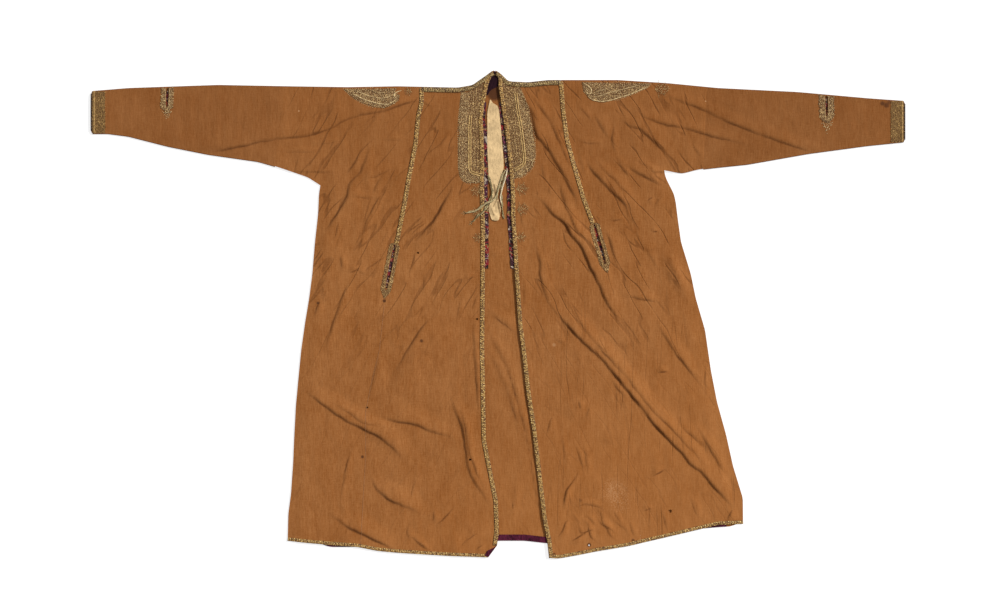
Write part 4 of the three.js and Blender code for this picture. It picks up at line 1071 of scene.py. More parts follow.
def cotton(name, colour, marks=(), wrinkled=False):
    """Hand-loomed cotton: uneven warp threads show as fine streaks down the cloth, crossed by fainter weft,
    over a soft unevenness of the dye.  It grows lighter towards the lower right, and painted shade darkens it
    towards the shoulders, along the feet of the creases and folds and, if wrinkled, in its fine wrinkles."""
    finish = Finish(name)
    warp = finish.noise(560.0, 2.0, stretch=(1.0, 0.09, 0.0), roughness=0.6)
    slubs = finish.noise(230.0, 2.0, stretch=(1.0, 0.06, 0.0))
    weft = finish.noise(520.0, 2.0, stretch=(0.12, 1.0, 0.0), roughness=0.6)
    cloud = finish.noise(5.0, 3.0)
    patch = finish.noise(24.0, 4.0, stretch=(1.0, 0.7, 0.0), roughness=0.6)
    grain = finish.noise(430.0, 3.0, stretch=(1.0, 0.7, 0.0), roughness=0.7)
    tone = 0.5 + (warp - 0.5) * 0.95 + (slubs - 0.5) * 0.42 + (weft - 0.5) * 0.55
    tone = tone + (cloud - 0.5) * 0.6 + (patch - 0.5) * 0.6 + (grain - 0.5) * 0.75
    base = finish.mix(tone, dusted(colour, -24.0), dusted(colour, 19.0))
    x, y = finish.plan()
    # painted shade, darker towards the shoulders
    base = finish.mix(finish.ramp(y, 0.12, 0.46) * 0.30, base, deepened(colour, 0.62))
    base = finish.mix(finish.ramp(x * 0.7 - y, 0.15, 0.55) * 0.25, base, tinted(colour, 1.35))
    for mark in marks:
        broken = finish.ramp(grain + patch * 0.5, 0.74, 0.90) if mark.soft > 10 else 1.0
        spot = finish.spot(mark.x, mark.y, mark.size, mark.soft) * mark.share * broken
        base = finish.mix(spot, base, (*mark.colour, 1.0))
    # painted shade along the feet of the creases and along the folds, read from the cloth's attribute and
    # made uneven by the patch noise
    soil = finish.node("ShaderNodeAttribute", {"attribute_name": "soil"}, None, "Fac")
    worn = finish.ramp(soil, 0.36, 1.0)
    base = finish.mix(worn * (0.42 + patch * 0.6), base, deepened(colour, 0.30))
    wrinkle = finish.noise(60.0, 3.0, stretch=(1.0, 0.45, 0.0))
    height = warp * 0.00022 + weft * 0.00016 + grain * 0.00018 + wrinkle * 0.0015
    if wrinkled:
        fine = fine_wrinkles(finish)
        # painted shade in the lines of the fine wrinkles, which also dent the bump below
        base = finish.mix(fine * 0.36, base, deepened(colour, 0.34))
        height = height - fine * 0.0009
    return finish.shade(base, 0.93, height, 0.9, sheen=0.03, gloss=0.12)


def gilt(name, dark, mid, light):
    """Gold braid: a herringbone of wrapped threads by the place along and across the strip, worn to the
    dark silk core in specks and along its two edges."""
    finish = Finish(name)
    strip = finish.node("ShaderNodeUVMap", {"uv_map": "cut"})
    u, v = finish.part(strip, "X"), finish.part(strip, "Y")
    turns = 2 * np.pi / (PLAIT * MM)
    weave = (u * turns + v.size() * (turns * PLAIT_SLANT)).sine() * 0.5 + 0.5
    grain = finish.noise(300.0, 3.0, roughness=0.75)
    worn = finish.noise(150.0, 2.0, roughness=0.6)
    glint = finish.noise(340.0, 2.0, roughness=0.7)
    edge = finish.ramp(v.size(), 3.4 * MM, 5.0 * MM)
    tone = weave * 0.35 + (grain - 0.5) * 4.6 + (worn - 0.5) * 4.0 + 0.34 - edge * 0.42
    base = finish.mix(tone, (*dark, 1.0), (*mid, 1.0))
    # painted glints: bright specks of the gold threads, fewer towards the worn edges
    bright = finish.ramp(glint * 0.62 + grain * 0.38, 0.53, 0.62) * (1.0 - edge * 0.7)
    base = finish.mix(bright, base, (*light, 1.0))
    height = weave * 0.0006 + grain * 0.0014
    return finish.shade(base, 0.55 - glint * 0.15, height, 0.9, metallic=0.12, gloss=0.3)


def couching(name, dark, mid, light):
    """The worked ground of the embroidery: short rows of laid thread with the dark cloth between them."""
    finish = Finish(name)
    rows = finish.noise(280.0, 3.0, stretch=(1.0, 0.7, 0.0), roughness=0.7)
    grain = finish.noise(420.0, 3.0, roughness=0.7)
    worn = finish.noise(45.0, 2.0)
    tone = 0.5 + (rows - 0.5) * 3.0 + (grain - 0.5) * 2.6 + (worn - 0.5) * 1.0
    base = finish.mix(tone, (*dark, 1.0), (*mid, 1.0))
    base = finish.mix(finish.ramp(tone, 0.72, 1.15), base, (*light, 1.0))
    height = finish.ramp(tone, 0.0, 1.0) * 0.0011
    return finish.shade(base, 0.66 - grain * 0.1, height, 0.9, metallic=0.05, gloss=0.2)


def thread(name, dark, light, metallic=0.15):
    """Stitches and laid cords: each takes its own tone from where it lies, over a fine grain."""
    finish = Finish(name)
    own = finish.noise(190.0, 2.0, roughness=0.7)
    grain = finish.noise(760.0, 2.0, stretch=SOLID, roughness=0.7)
    tone = 0.5 + (own - 0.5) * 2.6 + (grain - 0.5) * 1.4
    base = finish.mix(tone, (*dark, 1.0), (*light, 1.0))
    return finish.shade(base, 0.6, grain * 0.0005, 0.8, metallic=metallic, gloss=0.3)


SILK_SLANT = 0.3  # how far the bands of the silk run across for each step along


def striped_silk(name, bands):
    """Silk of bands in several colours and lengths that run unevenly across the strip, worn and darkened in
    places and flecked with pale thread.  bands are rows of a length in mm and a colour."""
    finish = Finish(name)
    x, y = finish.plan()
    wobble = finish.noise(58.0, 3.0, roughness=0.5)
    lengths = np.array([length for length, _ in bands], float)
    turns = (y + x * SILK_SLANT + wobble * 0.058) / (lengths.sum() * MM)
    share = finish.node("ShaderNodeMath", {"operation": "FRACT"}, {0: turns})
    starts = (np.cumsum(lengths) - lengths) / lengths.sum()
    steps = [(float(start), colour) for start, (_, colour) in zip(starts, bands)]
    ramp = finish.node("ShaderNodeValToRGB", {"steps": steps}, {"Fac": share})
    grain = finish.noise(420.0, 3.0, stretch=(0.4, 1.0, 0.0), roughness=0.7)
    dirt = finish.noise(110.0, 2.0)
    base = finish.mix((grain - 0.5) * 1.8 + (dirt - 0.5) * 1.8 + 0.34, ramp, (0.02, 0.010, 0.010, 1.0))
    fleck = finish.ramp(finish.noise(330.0, 2.0, stretch=(1.0, 0.6, 0.0)), 0.60, 0.66)
    base = finish.mix(fleck * 0.75, base, (0.50, 0.38, 0.27, 1.0))
    return finish.shade(base, 0.6, grain * 0.0006, 0.8, gloss=0.15)


FOLD_BROWN = linear(104, 76, 46)


def lining(name, colour, spread, specks=0.0, folds=()):
    """Plain lining: a fine even weave with a few soft stains, small dark specks and shaded folds."""
    finish = Finish(name)
    weave = finish.noise(300.0, 3.0, stretch=(1.0, 0.4, 0.0), roughness=0.7)
    cloud = finish.noise(42.0, 3.0)
    tone = 0.5 + (weave - 0.5) * 1.8 + (cloud - 0.5) * 1.5
    base = finish.mix(tone, tinted(colour, 1.0 - spread), tinted(colour, 1.0 + spread))
    speck = finish.ramp(finish.noise(240.0, 2.0), 0.64, 0.72) * specks
    base = finish.mix(speck, base, tinted(colour, 0.32))
    for start, end, soft, share in folds:
        base = finish.mix(finish.streak(start, end, 0.4, soft) * share, base, (*FOLD_BROWN, 1.0))
    height = weave * 0.0006 + cloud * 0.0016
    return finish.shade(base, 0.85, height, 0.8, gloss=0.1)


def twisted(name, dark, light):
    """Silk cord: slanting strands by the place on the cloth, light on their crowns and dark in the grooves
    between as painted highlight and shade of the twist, with a rough grain.
    """
    finish = Finish(name)
    x, y = finish.plan()
    strands = (x * 1900.0 + y * 2300.0).sine() * 0.5 + 0.5
    grain = finish.noise(520.0, 3.0, stretch=SOLID, roughness=0.7)
    base = finish.mix(strands * 0.55 + (grain - 0.5) * 1.8 + 0.22, (*dark, 1.0), (*light, 1.0))
    return finish.shade(base, 0.7, strands * 0.0005 + grain * 0.0006, 0.9, gloss=0.2)


Mark = namedtuple("Mark", "x y size soft share colour")
# the brown of dark stains, and of the painted shadow inside the neck
STAIN_AND_SHADE_BROWN = linear(70, 40, 24)
PALE = linear(196, 150, 108)
MARKS = [
    Mark(-256, 33, 2.2, 3.0, 0.9, STAIN_AND_SHADE_BROWN),
    Mark(-405, 28, 1.6, 3.0, 0.8, STAIN_AND_SHADE_BROWN),
    Mark(-172, -57, 2.0, 3.0, 0.8, STAIN_AND_SHADE_BROWN),
    Mark(-305, -318, 1.8, 3.0, 0.8, STAIN_AND_SHADE_BROWN),
    Mark(304, -506, 2.2, 3.0, 0.7, STAIN_AND_SHADE_BROWN),
    Mark(205, -516, 3.0, 3.0, 0.8, STAIN_AND_SHADE_BROWN),
    Mark(126, -537, 2.0, 3.0, 0.7, STAIN_AND_SHADE_BROWN),
    Mark(186, -416, 1.6, 4.0, 0.35, STAIN_AND_SHADE_BROWN),
    # painted shadow inside the neck, on the back between the collar and the cream lining
    Mark(-8, 500, 11.0, 10.0, 0.88, STAIN_AND_SHADE_BROWN),
    *(
        Mark(x + 0.5 * size * np.cos(turn), y, 0.3 * size, 8.0, 0.34, STAIN_AND_SHADE_BROWN)
        for x, y, turn, size in SPRIGS
    ),
    Mark(126, -66, 1.6, 4.0, 0.4, PALE),
    Mark(262, -402, 10.0, 34.0, 0.34, PALE),
    Mark(246, -384, 5.0, 20.0, 0.30, PALE),
    Mark(280, -426, 5.0, 20.0, 0.30, PALE),
    Mark(-448, 460, 0.8, 1.4, 0.9, PALE),
    Mark(467, 482, 0.8, 1.2, 0.9, PALE),
    Mark(532, 496, 0.8, 1.2, 0.9, PALE),
]

SLEEVE_MARKS = [
    Mark(865, 477, 2.2, 5.0, 0.75, STAIN_AND_SHADE_BROWN),
    Mark(874, 473, 2.6, 6.0, 0.70, STAIN_AND_SHADE_BROWN),
    Mark(880, 480, 2.0, 5.0, 0.55, STAIN_AND_SHADE_BROWN),
]

LINING_FOLDS = [
    ((-9, 294), (-6, 276), 3.4, 0.75), ((-6, 276), (-2, 262), 3.0, 0.75), ((-2, 262), (-10, 246), 2.4, 0.6),
    ((0, 256), (2, 242), 3.0, 0.8), ((2, 242), (5, 226), 2.6, 0.7), ((-15, 240), (-9, 226), 2.2, 0.5),
    ((3, 300), (-1, 282), 2.6, 0.5),
]  # shaded folds in the gathered end of the cream lining: from, to, softness in mm, share


# ---------------------------------------------------------------- sizes and colours that a user may change
def colour_setting(name, description, *display):
    """A colour that a user may change, with its default in display values from 0 to 255."""
    return bpy.props.FloatVectorProperty(
        name=name, description=description, subtype="COLOR", size=3, default=linear(*display)
    )


class AbayaCloth(bpy.types.PropertyGroup):
    """The cotton."""

    cell: bpy.props.FloatProperty(
        name="Cell", description="Grid cell of the upper cloth", default=0.0027, min=0.0022, unit="LENGTH"
    )
    hidden_cell: bpy.props.FloatProperty(
        name="Hidden cell", description="Grid cell of the lower cloth", default=0.009, unit="LENGTH"
    )
    colour: colour_setting("Cotton", "Colour of the cotton", 150, 94, 46)
    sleeve_colour: colour_setting("Sleeves", "Colour of the sleeves", 144, 90, 44)


class AbayaTrim(bpy.types.PropertyGroup):
    """Braid, embroidery, linings and ties."""

    braid_lift: bpy.props.FloatProperty(
        name="Braid height", description="How far braid stands over the cloth", default=0.0012, unit="LENGTH"
    )
    braid_dark: colour_setting("Braid core", "Worn core of the braid", 92, 58, 28)
    braid_mid: colour_setting("Braid", "Body of the braid", 172, 131, 70)
    # colour of the braid's painted glints
    braid_glint: colour_setting("Braid glint", "Bright threads of the braid", 232, 200, 132)
    cream: colour_setting("Cream lining", "Colour of the neck lining", 216, 184, 136)
    purple: colour_setting("Purple silk", "Colour of the collar lining and hem facing", 74, 24, 42)


class AbayaStage(bpy.types.PropertyGroup):
    """Floor, light and camera."""

    camera_height: bpy.props.FloatProperty(
        name="Camera height", description="Height of the camera over the surface", default=5.316,
        unit="LENGTH",
    )
    key: bpy.props.FloatProperty(
        name="Key light", description="Strength of the soft sun from the upper right", default=3.7
    )
    key_height: bpy.props.FloatProperty(
        name="Key height", description="How steeply the key light falls", default=0.60, subtype="ANGLE"
    )
    key_softness: bpy.props.FloatProperty(
        name="Key softness", description="Angle that the key light fills", default=0.16, subtype="ANGLE"
    )
    surround: bpy.props.FloatProperty(
        name="Surround", description="Strength of the even light from all round", default=0.40
    )


class AbayaSettings(bpy.types.PropertyGroup):
    """All settings of the coat."""

    cloth: bpy.props.PointerProperty(type=AbayaCloth)
    trim: bpy.props.PointerProperty(type=AbayaTrim)
    stage: bpy.props.PointerProperty(type=AbayaStage)


# ---------------------------------------------------------------- plan outlines of the cloth pieces
def armpit_run(half, foot_lift):
    """The underside of the sleeve from the sleeve seam to the armpit."""
    start = meet(half.sleeve_seam, half.under, foot_lift)[0]
    return run_over(half.under, start, half.edge[0][0], foot_lift)


SEAM_GAP = 0.02  # between sheets that a seam joins


def side_outline(half, seam, hem, turn):
    """A side panel in plan: from its seam to the sleeve seam, the sleeve's underside and the side."""
    top, gap = -turn, half.side * SEAM_GAP / 2
    sleeve_top = meet(half.sleeve_seam, TOP, top)[1]
    under = armpit_run(half, FOLD_RADIUS)
    seam_top, seam_foot = meet(seam, TOP, top)[1], meet(seam, hem)[1]
    edge_foot = meet(half.edge, hem)
    return ring(
        run_down(half.sleeve_seam, sleeve_top, under[0][1], -gap),
        under,
        run_down(half.edge, half.edge[0][1] - 3.0, edge_foot[1]),
        run_over(hem, edge_foot[0], x_at(seam, seam_foot)),
        run_down(seam, seam_top, seam_foot, gap)[::-1],
        run_over(TOP, x_at(seam, seam_top), x_at(half.sleeve_seam, sleeve_top), top),
    )


TURNED_FROM, TURNED_TO = (-2.0, -517.0), -22.0  # the right front's corner is turned in between these


def front_corner(half):
    """Where the front edge ends and the x where the hem starts: one corner, but turned in on the right."""
    foot = meet(half.front, HEM)
    return (foot, foot[0]) if half is LEFT else (TURNED_FROM, TURNED_TO)


def front_outline(half):
    """A front panel in plan: shoulder seam, neck side, front edge, hem and seam."""
    under_seam = -(SHOULDER_TURN + GAP)
    seam_top = meet(half.seam, TOP, under_seam)[1]
    seam_foot = meet(half.seam, HEM)[1]
    edge_foot, hem_start = front_corner(half)
    neck = half.neck - half.side * GAP
    gap = -half.side * SEAM_GAP / 2
    return ring(
        run_over(TOP, x_at(half.seam, seam_top), neck, under_seam),
        run_over(TOP, neck, half.front[0][0], -1.0),
        run_down(half.front, 550.0, edge_foot[1]),
        run_over(HEM, hem_start, x_at(half.seam, seam_foot)),
        run_down(half.seam, seam_top, seam_foot, gap)[::-1],
    )


def back_outline():
    """The lower cloth of the back in plan, up to the shoulder folds and the peak of the neck."""
    tops = [meet(half.back_seam, TOP, -FOLD_RADIUS) for half in HALVES]
    feet = [meet(half.back_seam, HEM_BACK) for half in HALVES]
    return ring(
        run_down(RIGHT.back_seam, tops[0][1], feet[0][1], GAP / 2),
        run_over(HEM_BACK, feet[0][0], feet[1][0]),
        run_down(LEFT.back_seam, tops[1][1], feet[1][1], -GAP / 2)[::-1],
        run_over(TOP, tops[1][0], tops[0][0], -FOLD_RADIUS),
    )


CUFF_ROUND = 6.0  # how far the corners of the cuffs are rounded


def sleeve_outline(half):
    """A sleeve in plan, between its seam, the shoulder fold, the cuff and the underside fold."""
    end = half.side * CUFF_END
    seam_top = meet(half.sleeve_seam, TOP, -FOLD_RADIUS)
    seam_foot = meet(half.sleeve_seam, half.under, FOLD_RADIUS)
    top, low = float(y_at(TOP, end)) - FOLD_RADIUS, float(y_at(half.under, end)) + FOLD_RADIUS
    near = end - half.side * np.array([CUFF_ROUND, 0.3 * CUFF_ROUND, 0.0])
    drop = np.array([0.3 * CUFF_ROUND, CUFF_ROUND])
    return ring(
        run_over(TOP, seam_top[0], near[0], -FOLD_RADIUS),
        np.column_stack([near[1:], top - drop]),
        np.column_stack([near[:0:-1], low + drop[::-1]]),
        run_over(half.under, near[0], seam_foot[0], FOLD_RADIUS),
        run_down(half.sleeve_seam, seam_top[1], seam_foot[1], half.side * SEAM_GAP / 2)[::-1],
    )


def gusset_outline(half):
    """The small piece at the armpit, between the sleeve seam and the side panel."""
    corners = np.asarray(half.gusset, float)
    seam = run_down(half.sleeve_seam, corners[0][1], meet(half.sleeve_seam, half.under, FOLD_RADIUS)[1])
    seam = seam - (half.side * SEAM_GAP / 2, 0.0)
    last = corners[-2] + (corners[-1] - corners[-2]) * 0.5
    under = run_over(half.under, last[0], seam[-1][0], FOLD_RADIUS)
    return ring(corners[:-1], under, seam[::-1])


def over_seam(x, y):
    """The upper cloth's top, just clear of the seam allowance under it."""
    return skin(x, y) + 0.12


def gusset_cut(half):
    """What the side panel leaves free under its gusset: the gusset less its seam allowance."""
    outline = gusset_outline(half)
    middle = outline.mean(axis=0)
    return middle + (outline - middle) * 0.9


def moth_holes():
    """Ragged little outlines: circles whose radius swells three times around."""
    turn = np.linspace(0.0, 2 * np.pi, 14, endpoint=False)
    return [
        np.column_stack([
            h.x + 1.25 * h.size / 2 * (1 + 0.18 * np.cos(3 * turn + h.x)) * np.cos(turn),
            h.y + h.size / 2 * (1 + 0.18 * np.cos(3 * turn + h.x)) * np.sin(turn),
        ])
        for h in HOLES
    ]


def settings():
    """The coat's settings, which the panel shows."""
    return bpy.context.scene.abaya


def on(level):
    """A height function of one level."""
    return lambda x, y: np.full(np.shape(x), float(level))


# ---------------------------------------------------------------- the stage and the ties, which come first
FLOOR_REACH = 6.0  # metres from the middle
FLOOR_LEVEL = -0.0004  # metres, just under the cloth
FLOOR_GREY = 0.34
FLOOR_GLOW = 0.76
LENS = 85.0  # focal length in mm
CENTRE = (0.0045, 0.0214)  # the place under the camera, in metres


class SetStage(bpy.types.Operator):
    """Lays the pale floor, sets the soft studio light and hangs the camera straight above."""

    bl_idname = "abaya.stage"
    bl_label = "Stage"

    def execute(self, context):
        stage = settings().stage
        mesh = bpy.data.meshes.new("floor")
        corners = FLOOR_REACH * np.array([(-1, -1), (1, -1), (1, 1), (-1, 1)])
        mesh.from_pydata([(x, y, FLOOR_LEVEL) for x, y in corners], [], [(0, 1, 2, 3)])
        floor = bpy.data.objects.new("floor", mesh)
        context.scene.collection.objects.link(floor)
        grey = (FLOOR_GREY, FLOOR_GREY, FLOOR_GREY, 1.0)
        mesh.materials.append(Finish("floor").shade(grey, 0.95, glow=FLOOR_GLOW))
        sun = bpy.data.lights.new("key", "SUN")
        sun.energy = stage.key
        sun.angle = stage.key_softness
        lamp = bpy.data.objects.new("key", sun)
        level = np.cos(stage.key_height) / np.hypot(*LIT_SIDE)
        way = Vector((LIT_SIDE[0] * level, LIT_SIDE[1] * level, np.sin(stage.key_height)))
        lamp.rotation_euler = (-way).to_track_quat("-Z", "Y").to_euler()
        context.scene.collection.objects.link(lamp)
        context.scene.view_settings.view_transform = "Standard"
        world = bpy.data.worlds.new("surround")
        world.use_nodes = True
        background = world.node_tree.nodes["Background"]
        background.inputs["Color"].default_value = (1.0, 1.0, 1.0, 1.0)
        background.inputs["Strength"].default_value = stage.surround
        context.scene.world = world
        camera = bpy.data.objects.new("camera", bpy.data.cameras.new("camera"))
        camera.data.lens = LENS
        camera.location = (*CENTRE, stage.camera_height)
        context.scene.collection.objects.link(camera)
        context.scene.camera = camera
        return {"FINISHED"}


TIE_POINTS = 26  # on each tie's curve


def strand(route, shift, reach, seed):
    """A thin strand that winds loosely beside a tie cord for a share of its length: a strip carried along
    the cord's route, moved sideways by shift times a slow wave, at the cord's own height."""
    cord = soften(route, 2.0, 6.0)
    passed = np.r_[0.0, np.cumsum(np.linalg.norm(np.diff(cord[:, :2], axis=0), axis=1))]
    keep = passed <= passed[-1] * reach
    path = beside(cord[keep, :2], 1.0)
    wave = shift * np.cos(passed[keep] / 7.0 + seed) + 0.5 * np.sin(passed[keep] / 3.1 + 2 * seed)
    path = cord[keep, :2] + (path - cord[keep, :2]) * wave[:, None]

    def level(x, y):
        """The cord's underside at the nearest place of its route."""
        along = nearest(cord[:, :2], x, y)[3]
        return np.interp(along, passed, cord[:, 2]) - 0.7

    return ribbon(path, 1.7, 1.5, height=level, step=2.0, columns=5, fade=5.0)


class LayTies(bpy.types.Operator):
    """Lays the three tie cords along their routes."""

    bl_idname = "abaya.ties"
    bl_label = "Tie cords"

    def execute(self, context):
        colours = {
            "tie_cord_right": (linear(74, 62, 38), linear(146, 128, 86)),
            "tie_cord_left": (linear(112, 92, 56), linear(220, 200, 152)),
            "tie_cord_loose": (linear(92, 76, 46), linear(172, 150, 104)),
        }
        for name, route in (
            ("tie_cord_right", TIE_RIGHT), ("tie_cord_left", TIE_LEFT), ("tie_cord_loose", TIE_LOOSE)
        ):
            points = soften(route, 2.0, 6.0)
            points = evenly(points, np.linalg.norm(np.diff(points, axis=0), axis=1).sum() / (TIE_POINTS - 1))
            curve = bpy.data.curves.new(name, "CURVE")
            curve.dimensions = "3D"
            spline = curve.splines.new("POLY")
            spline.points.add(len(points) - 1)
            spline.points.foreach_set("co", np.column_stack([points * MM, np.ones(len(points))]).ravel())
            curve.bevel_depth = CORD_RADIUS * MM
            curve.bevel_resolution = 3
            curve.use_fill_caps = True
            tie = bpy.data.objects.new(f"laid_{name}", curve)
            context.scene.collection.objects.link(tie)
            curve.materials.append(twisted(name, *colours[name]))
            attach(tie, "root")
            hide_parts(name)
        loose = thread("tie_thread", linear(62, 50, 30), linear(214, 192, 140), 0.0)
        strands = [
            strand(route, shift, reach, seed)
            for route, shift, reach, seed in (
                (TIE_RIGHT, 2.3, 1.0, 1), (TIE_RIGHT, -2.0, 0.93, 2), (TIE_RIGHT, 1.0, 0.8, 7),
                (TIE_LEFT, 2.4, 1.0, 3), (TIE_LEFT, -2.0, 0.9, 4), (TIE_LOOSE, 2.2, 0.75, 5),
                (TIE_LOOSE, -2.0, 1.0, 6),
            )
        ]
        frays = [
            stitch_row(
                [end[:2], end[:2] + reach * np.array([np.cos(way), np.sin(way)])], 2.6, 9, (3.2, 1.1), 1.2
            )
            for end, turn in ((np.array(TIE_RIGHT[-1]), 3.9), (np.array(TIE_LEFT[-1]), 3.2))
            for way, reach in ((turn - 0.5, 7.0), (turn, 10.0), (turn + 0.45, 8.0))
        ]
        build("tie_strands", strands + frays, loose, "cord", added=True)
        light = thread("tie_pale_thread", linear(190, 168, 126), linear(244, 228, 196), 0.0)
        second = ribbon(PALE_STRAND, 2.6, 1.2, height=on(PALE_LEVEL), fade=6.0)
        build("tie_pale_strand", [second], light, "cord", added=True)
        return {"FINISHED"}


# ---------------------------------------------------------------- the cotton
class SewBody(bpy.types.Operator):
    """Makes the back, the side panels and the front panels, with the armpit gussets."""

    bl_idname = "abaya.body"
    bl_label = "Body"

    def execute(self, context):
        cloth_set = settings().cloth
        cell, coarse = cloth_set.cell / MM, cloth_set.hidden_cell / MM
        body = cotton("body_cotton", tuple(cloth_set.colour), MARKS, wrinkled=True)
        holes = moth_holes()
        tops = [meet(half.back_seam, TOP, -FOLD_RADIUS)[0] for half in HALVES]
        turned = [
            ring(run_over(TOP, a, b, -FOLD_RADIUS), run_over(TOP, b, a, -SHOULDER_TURN))
            for a, b in ((tops[0], NECK_RIGHT), (NECK_LEFT, tops[1]))
        ]
        build(
            "back_panel",
            [
                cloth(back_outline(), resting, 5.2, face_down=True),
                *[cloth(outline, skin, 4.0) for outline in turned],
                fold_strip(run_over(TOP, tops[0], NECK_RIGHT), 1),
                fold_strip(run_over(TOP, NECK_LEFT, tops[1]), 1),
            ],
            body, "cotton", CLOTH,
        )
        for half in HALVES:
            upper = side_outline(half, half.seam, HEM, FOLD_RADIUS)
            lower = side_outline(half, half.back_seam, HEM_BACK, FOLD_RADIUS)
            gusset = gusset_cut(half)
            top = sorted([x_at(half.seam, 520), x_at(half.sleeve_seam, 520)])
            build(
                f"side_panel_{half.name}",
                [
                    cloth(upper, skin, cell, [gusset, lens(half.pocket), *holes]),
                    cloth(lower, resting, coarse, [gusset], face_down=True),
                    fold_strip(run_over(TOP, *top), 1),
                ],
                body, "cotton", CLOTH,
            )
            build(
                f"front_panel_{half.name}",
                [cloth(front_outline(half), skin, cell, [lens(half.pocket), *holes])],
                body, "cotton", CLOTH,
            )
            outline = gusset_outline(half)
            build(
                f"gusset_{half.name}",
                [cloth(outline, over_seam, cell), cloth(outline, resting, 4.0, face_down=True)],
                body, "cotton", CLOTH,
            )
        return {"FINISHED"}


class SewSleeves(bpy.types.Operator):
    """Makes the two sleeves, flattened tubes folded at the shoulder and at the underside."""

    bl_idname = "abaya.sleeves"
    bl_label = "Sleeves"

    def execute(self, context):
        cloth_set = settings().cloth
        cell, coarse = cloth_set.cell / MM, cloth_set.hidden_cell / MM
        cloth_finish = cotton("sleeve_cotton", tuple(cloth_set.sleeve_colour), SLEEVE_MARKS)
        for half in HALVES:
            outline = sleeve_outline(half)
            cuff_end = half.side * (CUFF_END - 0.6 * CUFF_ROUND)
            ends = sorted([x_at(half.sleeve_seam, 520), cuff_end])
            feet = sorted([x_at(half.sleeve_seam, 330), cuff_end])
            build(
                f"sleeve_{half.name}",
                [
                    cloth(outline, skin, cell, [lens(half.wrist)]),
                    cloth(outline, resting, coarse, face_down=True),
                    fold_strip(run_over(TOP, *ends), 1),
                    fold_strip(run_over(half.under, *feet), -1),
                ],
                cloth_finish, "cotton", CLOTH,
            )
        return {"FINISHED"}


# ---------------------------------------------------------------- linings and facings
LINING_TOP = CLOTH + GAP + LINING
SILK_BANDS = [
    (9, linear(74, 30, 40)), (7, linear(150, 40, 40)), (9, linear(52, 28, 26)), (3, linear(196, 164, 120)),
    (9, linear(82, 34, 56)), (5, linear(48, 26, 24)), (6, linear(138, 32, 40)), (8, linear(72, 42, 58)),
    (3, linear(206, 186, 164)), (8, linear(62, 32, 32)), (5, linear(116, 52, 74)), (7, linear(46, 26, 28)),
    (6, linear(158, 48, 44)), (4, linear(150, 122, 70)),
]  # rows of a length in mm and a colour


class SewLinings(bpy.types.Operator):
    """Makes the cream and purple linings of the neck, the striped facings and the purple hem facing."""

    bl_idname = "abaya.linings"
    bl_label = "Linings and facings"

    def execute(self, context):
        trim = settings().trim
        cream = lining("cream_lining", tuple(trim.cream), 0.26, specks=0.7, folds=LINING_FOLDS)
        purple = lining("purple_silk", tuple(trim.purple), 0.95)
        shaded = lining("collar_silk", linear(34, 14, 22), 0.8)
        silk = striped_silk("striped_silk", SILK_BANDS)

        def rumpled(x, y):
            """The cream lining's top: gentle folds across its lower end."""
            bent = x / 3.6 + y / 5.5 + 2.2 * drift(x, y, 9.0, 11.0, 18)
            wave = (1.0 + np.sin(bent)) * 0.95 * smooth((272.0 - y) / 30.0)
            return LINING_TOP + wave + 0.3 + 0.3 * drift(x, y, 8.0, 26.0, 11)

        ragged = soften(closed(np.array(CREAM)), 3.0, 6.0)[:-1]
        ragged[:, 1] += 3.2 * drift(ragged[:, 0], ragged[:, 1], 3.4, 90.0, 14) * (ragged[:, 1] > 440)
        build("neck_lining", [cloth(ragged, rumpled, 2.5)], cream, "cream", LINING)
        outline = soften(closed(np.array(COLLAR_LINING)), 3.0, 4.0)[:-1]
        build("collar_lining", [cloth(outline, on(LINING_TOP), 2.5)], shaded, "purple", LINING)
        hem_line = run_over(HEM_BACK, -438, 514)
        outline = ring(hem_line, hem_line[::-1] + (0.0, HEM_FACING_WIDTH))
        corner = np.array([
            TURNED_FROM, (TURNED_TO, -544.0), (-30.0, -540.0), (-24.0, -529.0), (-11.0, -523.0)
        ])
        turned = cloth(corner, lambda x, y: skin(x, y) + 1.3, 2.5)
        build("back_hem_facing", [cloth(outline, on(LINING_TOP), 4.5), turned], purple, "purple", LINING)
        for half in HALVES:
            rows = run_down(half.front, FACING_TOP, FACING_BOTTOM)
            shown = np.minimum(FACING_SHOWN, 3.0 + (FACING_TOP - rows[:, 1]) / 12.0)
            shown = shown + 1.1 * drift(rows[:, 0] * 0, rows[:, 1], 9.0, 9.0, 17)
            inner = rows - np.column_stack([half.side * shown, 0 * shown])
            front = ring(inner, rows[::-1] + (half.side * FACING_HIDDEN, 0.0))
            for place, outline, top, cell in (
                ("front", front, LINING_TOP + 0.15, 3.0),
                ("pocket", around(half.pocket.line, 13.0, 12.0, 12.0), LINING_TOP, 3.5),
                ("wrist", wrist_outline(half), LINING_TOP, 3.0),
            ):
                strip = cloth(outline, on(top), cell)
                build(f"{place}_facing_{half.name}", [strip], silk, "stripe", LINING)
        return {"FINISHED"}


def wrist_outline(half):
    """The facing behind a wrist slit, clear of the shoulder fold."""
    return below_fold(around(half.wrist.line, 11.0, 0.0, 14.0), 9.0)


